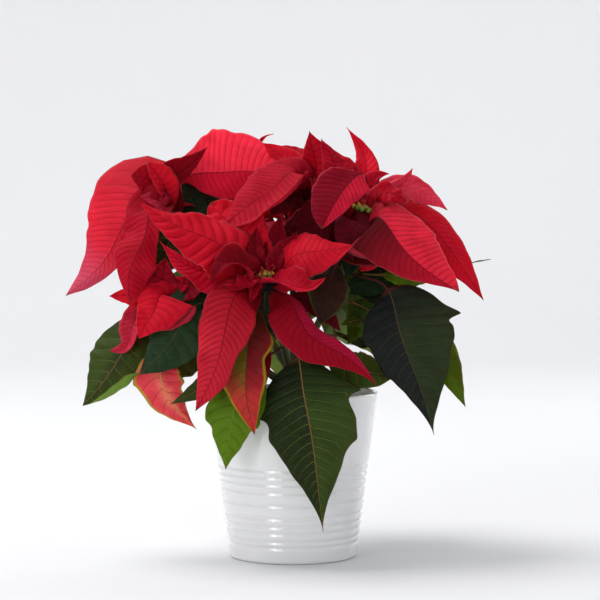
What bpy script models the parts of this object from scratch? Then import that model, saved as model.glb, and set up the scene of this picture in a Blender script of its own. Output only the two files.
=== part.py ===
# Potted poinsettia: cover pot, nursery pot, soil, forked stem, flower heads, bracts and leaves.
import math

import bmesh
import bpy
import numpy as np

MM = 0.001
GAP = 0.0003

# Cover pot: a straight flare with turned rings on its lower half.
POT_HEIGHT = 0.141
POT_FOOT_RADIUS = 0.0546
POT_RIM_RADIUS = 0.0725
POT_WALL = 0.0034
POT_FLOOR = 0.005
POT_EDGE = 0.003
POT_STEPS = 36
RING_HEIGHTS = (0.014, 0.019, 0.026, 0.032, 0.039, 0.050, 0.061, 0.068, 0.074, 0.080)
RING_DEPTH = 0.0010
RING_HALF_WIDTH = 0.0016

# Nursery pot: a thin flared cup that stands on the cover pot's floor.
NURSERY_HEIGHT = 0.110
NURSERY_FOOT_RADIUS = 0.044
NURSERY_RIM_RADIUS = 0.061
NURSERY_WALL = 0.0014
DRAIN_COUNT = 6
DRAIN_RADIUS = 0.004
DRAIN_CIRCLE = 0.028
CUP_STEPS = 32

# Soil: fills the nursery pot up to a little under its rim.
SOIL_BELOW_RIM = 0.008
SOIL_MOUND = 0.004
SOCKET_DEPTH = 0.034

STEM_RADIUS = 0.0050
BRANCH_RADIUS = 0.0032
TIP_RADIUS = 0.0025
STUB = 0.005
STEM_POINTS = 7
BRANCH_POINTS = 10
FLOWER_RADIUS = 0.0050
FLOWER_SEGMENTS = 12
FLOWER_RINGS = 7
FLOWER_LOBES = 5
LOBE_DEPTH = 0.12

BLADE_THICKNESS = 0.0008
STALK_THICKNESS = 0.0018
STALK_HALF_WIDTH = 0.0011
NARROW_LEAF = 15
NARROW_COLUMNS = 2
WIDE_COLUMNS = 4
SHORT_ROWS = 9
LONG_ROWS = 11
LINE_SAMPLES = 200

STEM_TOP = (-2, 0, 166)

# Branch routes in millimetres, from inside the stem to the flower head.
BRANCHES = {
    "front": [(-1, 0, 150), (-8, -14, 180), (-18, -32, 212), (-25, -44, 240)],
    "left": [(-3, 2, 158), (-30, 6, 200), (-70, 8, 250), (-100, 8, 285), (-110, 7, 300)],
    "low": [(-2, 0, 140), (-30, -6, 165), (-66, -16, 190), (-95, -24, 208), (-104, -27, 218)],
    "top": [(-1, 1, 160), (6, 12, 215), (14, 26, 270), (20, 34, 312)],
    "right": [(0, 0, 152), (22, -2, 200), (44, -6, 250), (57, -8, 292)],
    "back": [(-1, 2, 148), (0, 30, 195), (0, 60, 245), (0, 76, 282)],
}

# Where along the blade it is widest, and how fast it narrows to the tip.
SHAPES = {"bract": (0.44, 1.10), "leaf": (0.33, 1.80), "broad": (0.40, 1.15), "heart": (0.26, 1.30)}

BRIGHT = (0.62, 0.020, 0.045)
DEEP = (0.30, 0.005, 0.025)
PINK = (0.70, 0.070, 0.120)
CORAL = (0.62, 0.110, 0.060)
GREEN = (0.030, 0.075, 0.015)
DARK = (0.012, 0.025, 0.015)
LIME = (0.110, 0.180, 0.010)


def leaf(name, branch, drop, route, width, face, end_face=None, fold=0, curl=(0, 0),
         ruffle=(0, 2), stalk=6, shape="bract", colour=BRIGHT):
    """One row of the plant: lengths in millimetres, angles in degrees.

    Width is one half-width, or two: before the midrib and after it, seen along the face.
    Shape is a name from SHAPES or its own pair of numbers, or two of these, one for each half.
    """
    if not isinstance(width, tuple):
        width = (width, width)
    if isinstance(shape, str) or isinstance(shape[1], float):
        shape = (shape, shape)
    return dict(name=name, branch=branch, drop=drop, route=route, width=width, face=face,
                end_face=end_face or face, fold=fold, curl=curl, ruffle=ruffle,
                stalk=stalk, shape=shape, colour=colour)


LEAVES = [
    # Front head.
    leaf("front_bract_left", "front", 7, [(-56, -60, 263), (-88, -66, 280), (-129, -60, 304)], 27,
         (0, -0.8, 0.6), (0, -0.9, 0.4), fold=-8, curl=(6, -18), ruffle=(2.2, 2.5), shape=(0.38, 1.7)),
    leaf("front_bract_upper_left", "front", 10, [(-42, -36, 268), (-56, -28, 287), (-70, -20, 301)],
         (20, 22), (0, -0.9, 0.4), fold=8, ruffle=(2, 2), stalk=15, shape=(0.55, 0.8)),
    leaf("front_bract_upright", "front", 4, [(-13, -32, 262), (-12, -28, 277), (-11, -24, 291)],
         (8, 11), (-0.2, -0.9, 0.2), fold=28, stalk=4, colour=DEEP),
    leaf("front_bract_right", "front", 6, [(0, -58, 257), (22, -62, 262), (51, -56, 267)], (25, 24),
         (-0.1, -0.8, 0.6), fold=-5, curl=(-15, -10), ruffle=(1.2, 2), stalk=6, shape=(0.38, 1.2)),
    leaf("front_bract_trough", "front", 3, [(-3, -72, 236), (13, -78, 232), (27, -74, 241)], (14, 16),
         (0, -0.5, 0.85), fold=28, curl=(25, 15), stalk=4),
    leaf("front_bract_hanging", "front", 9,
         [(-44, -74, 229), (-55, -92, 198), (-64, -99, 166), (-82, -98, 133)], (23, 26),
         (-0.1, -0.95, 0.4), (0.1, -1, 0), fold=-6, curl=(-12, -20), ruffle=(2.5, 2.4)),
    leaf("front_bract_hanging_right", "front", 12,
         [(-3, -62, 222), (12, -76, 196), (41, -80, 178), (70, -68, 151)], (14, 24),
         (0.3, -0.9, 0.3), (0.5, -0.9, 0.3), fold=-18, curl=(-10, 6), shape=("bract", (0.30, 1.5))),
    leaf("front_bract_cup", "front", 4, [(-44, -64, 253), (-58, -72, 251), (-67, -72, 239)], 13,
         (0.2, -0.6, 0.75), fold=16, curl=(30, 30), stalk=4, colour=DEEP),
    leaf("front_bract_lower_left", "front", 14,
         [(-62, -50, 240), (-87, -55, 250), (-112, -50, 272)], (16, 14),
         (-0.2, -0.8, 0.6), fold=10, curl=(-30, -30), ruffle=(1.5, 2.5), shape=(0.38, 1.7)),
    # Left head.
    leaf("left_bract_arching", "left", 4,
         [(-129, -6, 314), (-139, -11, 299), (-148, -15, 273), (-161, -17, 250), (-192, -16, 223)],
         (14, 40), (-0.25, -0.85, 0.55), (-0.2, -0.95, 0.3), fold=-6, curl=(-15, -18),
         ruffle=(1.2, 1.5), stalk=18, shape=("bract", (0.24, 0.95))),
    leaf("left_bract_hanging", "left", 8,
         [(-120, -24, 295), (-123, -34, 279), (-131, -43, 257), (-136, -49, 242), (-135, -53, 218)],
         (17, 23), (-0.3, -0.95, 0), (-0.2, -0.95, 0.1), fold=-12, curl=(-10, -10), ruffle=(1.5, 2.5),
         stalk=8, shape=((0.70, 0.9), (0.38, 1.3)), colour=DEEP),
    leaf("left_bract_upright", "left", 2, [(-104, -10, 311), (-110, -16, 322), (-121, -18, 335)],
         (10, 11), (0.2, -0.9, 0.3), fold=24, curl=(10, 10), stalk=4, shape=(0.6, 0.7)),
    leaf("left_bract_great", "left", 14,
         [(-96, 18, 319), (-66, 26, 327), (-36, 32, 328), (-6, 36, 323)], (47, 25),
         (0, -0.95, 0.4), (0, -0.9, 0.4), fold=-10, curl=(-10, -12), ruffle=(0.8, 1.5), stalk=31,
         shape=((0.46, 0.9), (0.55, 0.8))),
    # Low head.
    leaf("low_bract_heart", "low", 4,
         [(-108, -44, 226), (-114, -56, 214), (-120, -64, 203), (-127, -68, 190)], (35, 16),
         (-0.1, -0.8, 0.6), (0, -0.95, 0.3), fold=10, curl=(-20, -15), ruffle=(1.2, 2), stalk=5,
         shape=((0.22, 1.0), (0.46, 1.0))),
    leaf("low_bract_curled", "low", 11,
         [(-125, -16, 210), (-135, -29, 195), (-140, -38, 181), (-154, -38, 178)], 10,
         (-0.3, -0.9, 0.2), fold=26, ruffle=(1, 3), stalk=5),
    leaf("low_bract_upright", "low", 6, [(-115, -18, 232), (-118, -12, 242), (-120, -8, 254)], 12,
         (0, -1, 0.1), stalk=4, colour=DEEP),
    # Top head.
    leaf("top_bract_folded", "top", 12,
         [(2, 10, 327), (-15, -15, 315), (-36, -31, 300), (-58, -38, 281)], (28, 25),
         (-0.1, -0.8, 0.6), (0, -0.8, 0.6), curl=(30, -15), ruffle=(1, 2), stalk=10,
         shape=((0.56, 0.9), (0.46, 1.1))),
    leaf("top_bract_back", "top", 8, [(8, 48, 338), (-3, 52, 346), (-15, 52, 350)], 12,
         (0, -0.7, 0.7), ruffle=(1, 3), stalk=5),
    leaf("top_bract_upright", "top", 1, [(20, 26, 332), (17, 24, 347), (14, 24, 363)], (15, 18),
         (-0.2, -0.9, 0.2), fold=10, curl=(10, 10), stalk=5, shape=((0.30, 1.3), (0.36, 1.3))),
    # Right head.
    leaf("right_bract_folded", "right", 5,
         [(62, -14, 312), (59, -24, 325), (47, -34, 318), (35, -41, 301), (24, -46, 280)], (14, 24),
         (0.1, -0.9, 0.5), (0.1, -0.9, 0.4), fold=-4, curl=(-8, -8), stalk=28,
         shape=((0.36, 0.9), (0.54, 0.7))),
    leaf("right_bract_upper_left", "right", 9, [(40, 1, 320), (34, 8, 338), (24, 12, 356)], (13, 19),
         (0.1, -0.8, 0.5), fold=6, curl=(0, 15), ruffle=(1.5, 3), stalk=6,
         shape=("bract", (0.30, 1.5)), colour=DEEP),
    leaf("right_bract_upright", "right", 5, [(61, 6, 322), (61, 18, 342), (46, 24, 366)], (11, 12),
         (0.1, -0.9, 0.2), fold=12, ruffle=(1.5, 2), stalk=5, shape=(0.36, 1.4)),
    leaf("right_bract_great", "right", 12,
         [(70, -32, 290), (85, -46, 273), (107, -54, 249), (138, -52, 228)], (37, 41),
         (0.05, -0.75, 0.65), (0.1, -0.9, 0.4), fold=-12, curl=(-10, -10), ruffle=(1, 2), stalk=5,
         shape=((0.50, 0.80), (0.16, 1.4))),
    leaf("right_bract_outer", "right", 15, [(96, 10, 292), (131, 12, 266), (163, 6, 218)], 19,
         (0.3, -0.8, 0.4), fold=-10, ruffle=(1, 2), stalk=12),
    leaf("right_bract_upper_right", "right", 4,
         [(82, 4, 308), (102, 14, 314), (121, 14, 304), (132, 10, 295)], 17,
         (0.2, -0.6, 0.75), fold=-5, curl=(10, -10), ruffle=(1.5, 2), stalk=16, colour=PINK),
    leaf("right_bract_behind", "right", 24, [(64, 22, 273), (60, 34, 258), (50, 38, 246)], 13,
         (0, -1, 0.1), stalk=5),
    leaf("right_bract_inner_left", "right", 18, [(35, -12, 285), (18, -14, 284), (-4, -12, 278)], 22,
         (0, -0.9, 0.4), fold=5, stalk=5, colour=DEEP),
    # Back head.
    leaf("back_bract_left", "back", 6, [(-40, 98, 300), (-75, 104, 290), (-105, 96, 268)], 26,
         (0, 0.7, 0.7), fold=-8, curl=(-10, -10), ruffle=(1.5, 2)),
    leaf("back_bract_right", "back", 3, [(40, 102, 300), (75, 108, 288), (104, 96, 262)], 26,
         (0, 0.7, 0.7), fold=-8, curl=(-10, -10), ruffle=(1.5, 2)),
    leaf("back_bract_hanging", "back", 9, [(-4, 118, 278), (-12, 136, 245), (-18, 140, 200)], 25,
         (0, 0.9, 0.4), fold=-8, curl=(-10, -10), ruffle=(1.5, 2)),
    leaf("back_bract_lower_right", "back", 13, [(34, 112, 268), (54, 126, 240), (66, 128, 205)], 22,
         (0.3, 0.9, 0.3), fold=-8, curl=(-10, -10), ruffle=(1.5, 2)),
    # Leaves that turn from green to red.
    leaf("turning_leaf_front", "front", 24,
         [(-32, -58, 206), (-37, -76, 180), (-38, -86, 148), (-31, -88, 113)], 19,
         (-0.1, -1, 0.1), fold=-4, curl=(-5, -5), ruffle=(1.2, 2), stalk=12, colour=CORAL),
    leaf("turning_leaf_low", "low", 26,
         [(-101, -45, 182), (-110, -56, 161), (-103, -60, 141), (-80, -55, 114)], (16, 22),
         (-0.2, -0.9, 0.3), fold=-8, ruffle=(1, 2), stalk=36, shape=(0.34, 1.5), colour=CORAL),
    # Green leaves.
    leaf("leaf_over_pot", "front", 44,
         [(3, -58, 179), (8, -73, 152), (14, -83, 120), (20, -88, 76), (25, -88, 33)],
         (43, 38),
         (-0.05, -1, 0.15), (0, -1, 0), fold=-5, curl=(-5, -5), ruffle=(1.2, 1.5), stalk=46,
         shape="leaf", colour=GREEN),
    leaf("leaf_right_dark", "right", 50,
         [(76, -24, 233), (88, -38, 200), (103, -46, 157), (118, -46, 108)], (46, 34),
         (-0.1, -1, 0.1), (0, -1, 0), fold=6, curl=(-6, -6), ruffle=(1, 2), stalk=42,
         shape="leaf", colour=DARK),
    leaf("leaf_left", "low", 16,
         [(-124, -26, 195), (-141, -34, 179), (-157, -40, 154), (-176, -40, 132)], (28, 29),
         (-0.2, -0.9, 0.4), fold=-8, curl=(-6, -10), stalk=24, shape="broad", colour=GREEN),
    leaf("leaf_low_behind", "low", 50, [(-87, 0, 190), (-104, -2, 176), (-126, -2, 158)], 27,
         (-0.1, -0.95, 0.3), fold=-6, curl=(-8, -15), stalk=26, shape="broad", colour=GREEN),
    leaf("leaf_front_lime", "front", 56, [(-42, -66, 152), (-50, -77, 124), (-55, -79, 83)],
         (24, 24), (-0.3, -1, 0.1), fold=-4, curl=(-5, -5), ruffle=(1, 1.5), stalk=40,
         shape=(0.40, 1.3), colour=LIME),
    leaf("leaf_centre_dark", "right", 34, [(32, -42, 240), (28, -50, 221), (23, -48, 201)], 18,
         (-0.1, -1, 0), fold=-8, stalk=30, colour=DARK),
    leaf("leaf_right_inner", "right", 38, [(62, -6, 238), (80, -10, 233), (104, -12, 238)], 18,
         (0, -0.8, 0.5), stalk=14, shape="broad", colour=DARK),
    leaf("leaf_right_hanging", "right", 62, [(60, 22, 217), (57, 26, 199), (47, 22, 179)], 14,
         (0, -0.9, 0.3), stalk=20, shape="broad", colour=LIME),
    leaf("leaf_over_rim", "right", 92, [(43, -30, 168), (62, -36, 162), (84, -36, 160)], 15,
         (0, -0.9, 0.4), stalk=30, shape=(0.5, 0.8), colour=GREEN),
    leaf("leaf_right_lime", "right", 58,
         [(76, 12, 224), (108, 6, 202), (125, -8, 178), (135, -20, 154), (146, -20, 129)], 13,
         (0.1, -0.9, 0.3), stalk=80, shape="broad", colour=LIME),
    leaf("leaf_right_level", "right", 28, [(101, 28, 244), (128, 38, 245), (172, 42, 252)], 12,
         (0, 0, 1), stalk=40, shape="broad", colour=GREEN),
    leaf("leaf_left_olive", "left", 34, [(-102, -6, 272), (-108, -8, 258), (-112, -8, 240)], (18, 15),
         (0, -1, 0.1), stalk=8, shape="broad", colour=GREEN),
    leaf("leaf_top_dark", "left", 52, [(-56, 40, 294), (-72, 44, 304), (-94, 46, 312)], 18,
         (0, -0.9, 0.3), stalk=36, shape="broad", colour=DARK),
    leaf("leaf_back_left", "back", 52, [(-50, 84, 204), (-85, 112, 184), (-105, 122, 146)], 30,
         (-0.3, 0.7, 0.6), fold=-6, curl=(-8, -8), stalk=36, shape="leaf", colour=GREEN),
    leaf("leaf_back_right", "back", 60, [(50, 86, 196), (80, 114, 174), (96, 124, 134)], 30,
         (0.3, 0.7, 0.6), fold=-6, curl=(-8, -8), stalk=36, shape="leaf", colour=GREEN),
    leaf("leaf_back", "back", 72, [(0, 84, 190), (4, 112, 158), (8, 124, 108)], 32,
         (0, 0.9, 0.4), fold=-6, curl=(-8, -8), stalk=36, shape="leaf", colour=GREEN),
    leaf("leaf_side_right", "right", 108, [(60, 50, 184), (100, 60, 172), (120, 62, 142)], 26,
         (0.6, 0.3, 0.6), fold=-6, curl=(-8, -8), stalk=36, shape="leaf", colour=GREEN),
]


def clear_scene():
    for item in list(bpy.data.objects):
        bpy.data.objects.remove(item, do_unlink=True)


def new_collection(name):
    collection = bpy.data.collections.new(name)
    bpy.context.scene.collection.children.link(collection)
    return collection


def material(name, colour, roughness):
    surface = bpy.data.materials.new(name)
    surface.use_nodes = True
    shader = surface.node_tree.nodes["Principled BSDF"]
    shader.inputs["Base Color"].default_value = (*colour, 1)
    shader.inputs["Roughness"].default_value = roughness
    shader.inputs["Metallic"].default_value = 0
    return surface


def add_object(name, data, collection, surface=None):
    item = bpy.data.objects.new(name, data)
    collection.objects.link(item)
    if surface:
        data.materials.append(surface)
    return item


# ---- Turned pieces ----

def turned(name, profile, steps, collection, surface):
    """A profile of (radius, height) from the axis, up the inside, over and down the outside."""
    mesh = bpy.data.meshes.new(name)
    points = [(radius, 0, height) for radius, height in profile]
    edges = [(i, i + 1) for i in range(len(points) - 1)]
    mesh.from_pydata(points, edges, [])
    item = add_object(name, mesh, collection, surface)
    screw = item.modifiers.new("Turn", "SCREW")
    screw.axis = "Z"
    screw.steps = steps
    screw.render_steps = steps
    screw.use_merge_vertices = True
    screw.merge_threshold = 0.0001
    screw.use_smooth_shade = True
    return item


def flare(height, foot, rim, total):
    return foot + (rim - foot) * height / total


def pot_profile():
    def outer(height):
        return flare(height, POT_FOOT_RADIUS, POT_RIM_RADIUS, POT_HEIGHT)

    lip = POT_WALL / 2
    profile = [(0, POT_FLOOR), (outer(POT_FLOOR) - 2 * POT_WALL, POT_FLOOR)]
    profile.append((outer(2 * POT_FLOOR) - POT_WALL, 2 * POT_FLOOR))
    for turn in range(0, 181, 45):
        angle = math.radians(180 - turn)
        height = POT_HEIGHT - lip + lip * math.sin(angle)
        profile.append((outer(POT_HEIGHT) - lip + lip * math.cos(angle), height))
    for height in sorted(RING_HEIGHTS, reverse=True):
        profile.append((outer(height + RING_HALF_WIDTH), height + RING_HALF_WIDTH))
        profile.append((outer(height) - RING_DEPTH, height))
    profile.append((outer(RING_HEIGHTS[0] - RING_HALF_WIDTH), RING_HEIGHTS[0] - RING_HALF_WIDTH))
    for turn in range(0, 91, 30):
        angle = math.radians(turn)
        radius = POT_FOOT_RADIUS - POT_EDGE * (1 - math.cos(angle))
        profile.append((radius, POT_EDGE * (1 - math.sin(angle))))
    profile.append((0, 0))
    return profile


def nursery_profile():
    foot = POT_FLOOR + GAP
    top = foot + NURSERY_HEIGHT
    inner_foot = foot + NURSERY_WALL
    return [(0, inner_foot), (NURSERY_FOOT_RADIUS - NURSERY_WALL, inner_foot),
            (NURSERY_RIM_RADIUS - NURSERY_WALL, top), (NURSERY_RIM_RADIUS, top),
            (NURSERY_FOOT_RADIUS, foot), (0, foot)]


def soil_top():
    return POT_FLOOR + GAP + NURSERY_HEIGHT - SOIL_BELOW_RIM


def soil_profile():
    bottom = POT_FLOOR + 2 * GAP + NURSERY_WALL
    top = soil_top()
    slope = (NURSERY_RIM_RADIUS - NURSERY_FOOT_RADIUS) / NURSERY_HEIGHT
    inset = NURSERY_WALL + 2 * GAP
    foot = NURSERY_FOOT_RADIUS - inset
    edge = foot + slope * (top - bottom)
    socket = STEM_RADIUS + 1.5 * GAP
    crown = top + SOIL_MOUND
    return [(0, crown - SOCKET_DEPTH), (socket, crown - SOCKET_DEPTH), (socket, crown),
            (0.45 * edge, crown - 0.3 * SOIL_MOUND), (edge, top), (foot, bottom), (0, bottom)]


def cut_drain_holes(pot, collection, cutters):
    for index in range(DRAIN_COUNT):
        angle = 2 * math.pi * index / DRAIN_COUNT
        mesh = bpy.data.meshes.new(f"drain_cutter_{index + 1}")
        shape = bmesh.new()
        bmesh.ops.create_cone(shape, cap_ends=True, segments=12, radius1=DRAIN_RADIUS,
                              radius2=DRAIN_RADIUS, depth=4 * NURSERY_WALL)
        shape.to_mesh(mesh)
        shape.free()
        cutter = add_object(mesh.name, mesh, cutters)
        cutter.location = (DRAIN_CIRCLE * math.cos(angle), DRAIN_CIRCLE * math.sin(angle),
                           POT_FLOOR + GAP + NURSERY_WALL / 2)
        cutter.hide_render = True
        cutter.display_type = "WIRE"
        cut = pot.modifiers.new(f"Drain {index + 1}", "BOOLEAN")
        cut.operation = "DIFFERENCE"
        cut.solver = "EXACT"
        cut.object = cutter


# ---- Curves ----

def smooth_line(points, count):
    """A natural cubic spline through the points, read at equal steps of its length."""
    points = np.asarray(points, float)
    chord = np.linalg.norm(np.diff(points, axis=0), axis=1)
    knots = np.concatenate([[0], np.cumsum(chord)])
    size = len(points)
    matrix = np.eye(size)
    right = np.zeros((size, 3))
    for i in range(1, size - 1):
        matrix[i, i - 1:i + 2] = chord[i - 1], 2 * (chord[i - 1] + chord[i]), chord[i]
        right[i] = 6 * (points[i + 1] - points[i]) / chord[i]
        right[i] -= 6 * (points[i] - points[i - 1]) / chord[i - 1]
    bend = np.linalg.solve(matrix, right)
    place = np.linspace(0, knots[-1], LINE_SAMPLES)
    k = np.clip(np.searchsorted(knots, place, side="right") - 1, 0, size - 2)
    after = (knots[k + 1] - place)[:, None]
    before = (place - knots[k])[:, None]
    span = chord[k][:, None]
    line = (bend[k] * after ** 3 + bend[k + 1] * before ** 3) / (6 * span)
    line += (points[k] / span - bend[k] * span / 6) * after
    line += (points[k + 1] / span - bend[k + 1] * span / 6) * before
    length = np.concatenate([[0], np.cumsum(np.linalg.norm(np.diff(line, axis=0), axis=1))])
    even = np.linspace(0, length[-1], count)
    read = np.stack([np.interp(even, length, line[:, i]) for i in range(3)], axis=1)
    return read, length[-1]


def unit(vectors):
    return vectors / np.linalg.norm(vectors, axis=-1, keepdims=True)


def tube_mesh(name, line, radii):
    """A capped tube along a line, as a closed mesh."""
    curve = bpy.data.curves.new(name, "CURVE")
    curve.dimensions = "3D"
    curve.bevel_depth = 1
    curve.bevel_resolution = 2
    curve.use_fill_caps = True
    spline = curve.splines.new("POLY")
    spline.points.add(len(line) - 1)
    for point, place, radius in zip(spline.points, line, radii):
        point.co = (*place, 1)
        point.radius = radius
    holder = bpy.data.objects.new(name, curve)
    bpy.context.scene.collection.objects.link(holder)
    graph = bpy.context.evaluated_depsgraph_get()
    mesh = bpy.data.meshes.new_from_object(holder.evaluated_get(graph))
    mesh.name = name
    bpy.data.objects.remove(holder, do_unlink=True)
    shape = bmesh.new()
    shape.from_mesh(mesh)
    bmesh.ops.remove_doubles(shape, verts=shape.verts, dist=0.00001)
    shape.to_mesh(mesh)
    shape.free()
    return mesh


def branch_line(branch, count=LINE_SAMPLES):
    points = np.array(BRANCHES[branch], float) * MM
    return smooth_line(points, count)


def branch_radius(share):
    return BRANCH_RADIUS + (TIP_RADIUS - BRANCH_RADIUS) * share


def build_stems(collection, cutters, surface):
    root = soil_top() + SOIL_MOUND - SOCKET_DEPTH + GAP
    top = np.array(STEM_TOP) * MM
    line = smooth_line([(0, 0, root), (0, 0, soil_top() + SOIL_MOUND), top], STEM_POINTS)[0]
    radii = np.linspace(STEM_RADIUS, 0.8 * STEM_RADIUS, STEM_POINTS)
    stem = add_object("stems", tube_mesh("stems", line, radii), collection, surface)
    for branch in BRANCHES:
        line = branch_line(branch, BRANCH_POINTS)[0]
        radii = [branch_radius(share) for share in np.linspace(0, 1, BRANCH_POINTS)]
        arm = add_object(f"branch_{branch}", tube_mesh(f"branch_{branch}", line, radii), cutters)
        arm.hide_render = True
        arm.display_type = "WIRE"
        join = stem.modifiers.new(f"Fork {branch}", "BOOLEAN")
        join.operation = "UNION"
        join.solver = "EXACT"
        join.object = arm


def build_flower_cluster(branch, collection, surface):
    """A lobed button on the branch tip."""
    line = branch_line(branch)[0]
    axis = unit(line[-1] - line[-2])
    mesh = bpy.data.meshes.new(f"flowers_{branch}")
    shape = bmesh.new()
    bmesh.ops.create_uvsphere(shape, u_segments=FLOWER_SEGMENTS, v_segments=FLOWER_RINGS,
                              radius=FLOWER_RADIUS)
    for vertex in shape.verts:
        turn = math.atan2(vertex.co.y, vertex.co.x)
        waist = 1 - abs(vertex.co.z) / FLOWER_RADIUS
        vertex.co *= 1 + LOBE_DEPTH * math.cos(FLOWER_LOBES * turn) * waist
    shape.to_mesh(mesh)
    shape.free()
    mesh.shade_smooth()
    item = add_object(mesh.name, mesh, collection, surface)
    item.location = line[-1] + axis * (FLOWER_RADIUS + GAP)
    item.rotation_mode = "QUATERNION"
    from_up = np.cross((0, 0, 1), axis)
    item.rotation_quaternion = (1 + axis[2], *from_up)
    item.rotation_quaternion.normalize()


# ---- Leaves ----

def leaf_route(row):
    """Midrib points: off the bark at right angles, then through the row's own points."""
    line, length = branch_line(row["branch"])
    last = LINE_SAMPLES - 1
    share = 1 - row["drop"] * MM / length
    index = int(round(share * last))
    along = unit(line[min(index + 1, last)] - line[index - 1])
    points = np.array(row["route"], float) * MM
    toward = points[0] - line[index]
    radial = unit(toward - (toward @ along) * along)
    base = line[index] + radial * (branch_radius(share) + 1.5 * GAP)
    return np.vstack([base, base + radial * STUB, points])


def blade_width(row, share, length):
    """Half-widths along the leaf: a narrow stalk, then the outline of each half of the blade."""
    stalk = row["stalk"] * MM
    blade = np.clip((share * length - stalk) / (length - stalk), 0, 1)
    outline = []
    for shape in row["shape"]:
        peak, taper = SHAPES.get(shape, shape)
        rise = taper * peak / (1 - peak)
        outline.append((blade / peak) ** rise * ((1 - blade) / (1 - peak)) ** taper)
    outline = np.array(outline)
    narrow = STALK_HALF_WIDTH * np.clip(1.3 * (1 - blade), 0.2, 1)
    widths = np.array(row["width"])[:, None] * MM
    return np.maximum(widths * outline, narrow), blade, outline


def leaf_surface(row, across, along):
    """Points of the blade for across in -1..1 and along in 0..1, as a grid.

    Each half is an arc: it leaves the midrib at the fold angle and turns by the curl angle.
    """
    steps = len(along)
    line, length = smooth_line(leaf_route(row), steps)
    tangent = unit(np.gradient(line, axis=0))
    share = along[:, None]
    face = (1 - share) * np.array(row["face"], float) + share * np.array(row["end_face"], float)
    normal = unit(face - (face * tangent).sum(1)[:, None] * tangent)
    side = np.cross(tangent, normal)
    width, blade, outline = blade_width(row, along, length)
    width = np.where(across < 0, width[0][:, None], width[1][:, None])
    fullness = np.sqrt(np.where(across < 0, outline[0][:, None], outline[1][:, None]))
    reach = np.abs(across)[None, :]
    sign = np.sign(across)[None, :]
    curl = np.radians(np.where(across < 0, row["curl"][0], row["curl"][1]))[None, :]
    curl = np.where(np.abs(curl) < 0.001, 0.001, curl)
    fold = math.radians(row["fold"])
    out = width * (np.sin(fold + curl * reach) - math.sin(fold)) / curl * sign
    lift = width * (math.cos(fold) - np.cos(fold + curl * reach)) / curl
    height, waves = row["ruffle"]
    phase = np.where(across < 0, 0.6, 2.4)[None, :]
    wave = np.sin(2 * math.pi * waves * blade[:, None] + phase)
    lift = lift + height * MM * reach ** 1.6 * wave * fullness
    grid = line[:, None] + out[..., None] * side[:, None] + lift[..., None] * normal[:, None]
    return grid, blade


def build_leaf(row, collection, surface):
    columns = NARROW_COLUMNS if max(row["width"]) < NARROW_LEAF else WIDE_COLUMNS
    rows = SHORT_ROWS if len(row["route"]) < 4 else LONG_ROWS
    across = np.linspace(-1, 1, columns + 1)
    along = np.linspace(0, 1, rows + 1)
    grid, blade = leaf_surface(row, across, along)
    mesh = bpy.data.meshes.new(row["name"])
    shape = bmesh.new()
    bmesh.ops.create_grid(shape, x_segments=columns, y_segments=rows, size=1)
    shape.verts.ensure_lookup_table()
    stalk_points = []
    for vertex in shape.verts:
        i = int(round((vertex.co.y + 1) / 2 * rows))
        j = int(round((vertex.co.x + 1) / 2 * columns))
        vertex.co = grid[i, j]
        if blade[i] < 0.02:
            stalk_points.append(vertex.index)
    shape.to_mesh(mesh)
    shape.free()
    mesh.shade_smooth()
    item = add_object(row["name"], mesh, collection, surface)
    group = item.vertex_groups.new(name="stalk")
    group.add(stalk_points, 1, "REPLACE")
    shell = item.modifiers.new("Thickness", "SOLIDIFY")
    shell.thickness = STALK_THICKNESS
    shell.offset = 0
    shell.vertex_group = group.name
    shell.thickness_vertex_group = BLADE_THICKNESS / STALK_THICKNESS


def main():
    clear_scene()
    parts = new_collection("potted_poinsettia")
    cutters = new_collection("construction")
    turned("pot", pot_profile(), POT_STEPS, parts, material("white_glaze", (0.86, 0.86, 0.87), 0.12))
    plastic = material("nursery_plastic", (0.03, 0.03, 0.03), 0.5)
    nursery = turned("nursery_pot", nursery_profile(), CUP_STEPS, parts, plastic)
    cut_drain_holes(nursery, parts, cutters)
    turned("soil", soil_profile(), CUP_STEPS, parts,
           material("soil", (0.035, 0.022, 0.014), 0.95))
    build_stems(parts, cutters, material("bark", (0.09, 0.07, 0.03), 0.7))
    flower_surface = material("flower", (0.20, 0.26, 0.03), 0.5)
    for branch in BRANCHES:
        build_flower_cluster(branch, parts, flower_surface)
    for row in LEAVES:
        build_leaf(row, parts, material(row["name"], row["colour"], 0.5))


main()
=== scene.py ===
# Potted poinsettia: meshes and finishes for the leaves, bracts, flowers, stem, soil and both pots.
import math

import bpy
import numpy as np
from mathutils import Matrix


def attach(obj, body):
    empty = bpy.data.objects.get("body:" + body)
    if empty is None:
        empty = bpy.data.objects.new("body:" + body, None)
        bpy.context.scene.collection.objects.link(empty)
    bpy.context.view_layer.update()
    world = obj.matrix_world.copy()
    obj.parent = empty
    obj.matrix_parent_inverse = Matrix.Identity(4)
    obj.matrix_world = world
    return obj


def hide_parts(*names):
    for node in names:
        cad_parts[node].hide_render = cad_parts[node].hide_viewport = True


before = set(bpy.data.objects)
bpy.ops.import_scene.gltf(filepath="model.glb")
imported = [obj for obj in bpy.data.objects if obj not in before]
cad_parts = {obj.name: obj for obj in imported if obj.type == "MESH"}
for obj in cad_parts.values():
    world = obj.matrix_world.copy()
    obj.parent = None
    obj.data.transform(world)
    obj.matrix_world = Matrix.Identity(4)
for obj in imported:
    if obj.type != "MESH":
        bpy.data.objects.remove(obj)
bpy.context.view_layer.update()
mm = 0.001

view = {"place": (0.006, -2.0, 0.320), "tilt": 87.1, "lens": 141, "sensor": 36}

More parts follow.
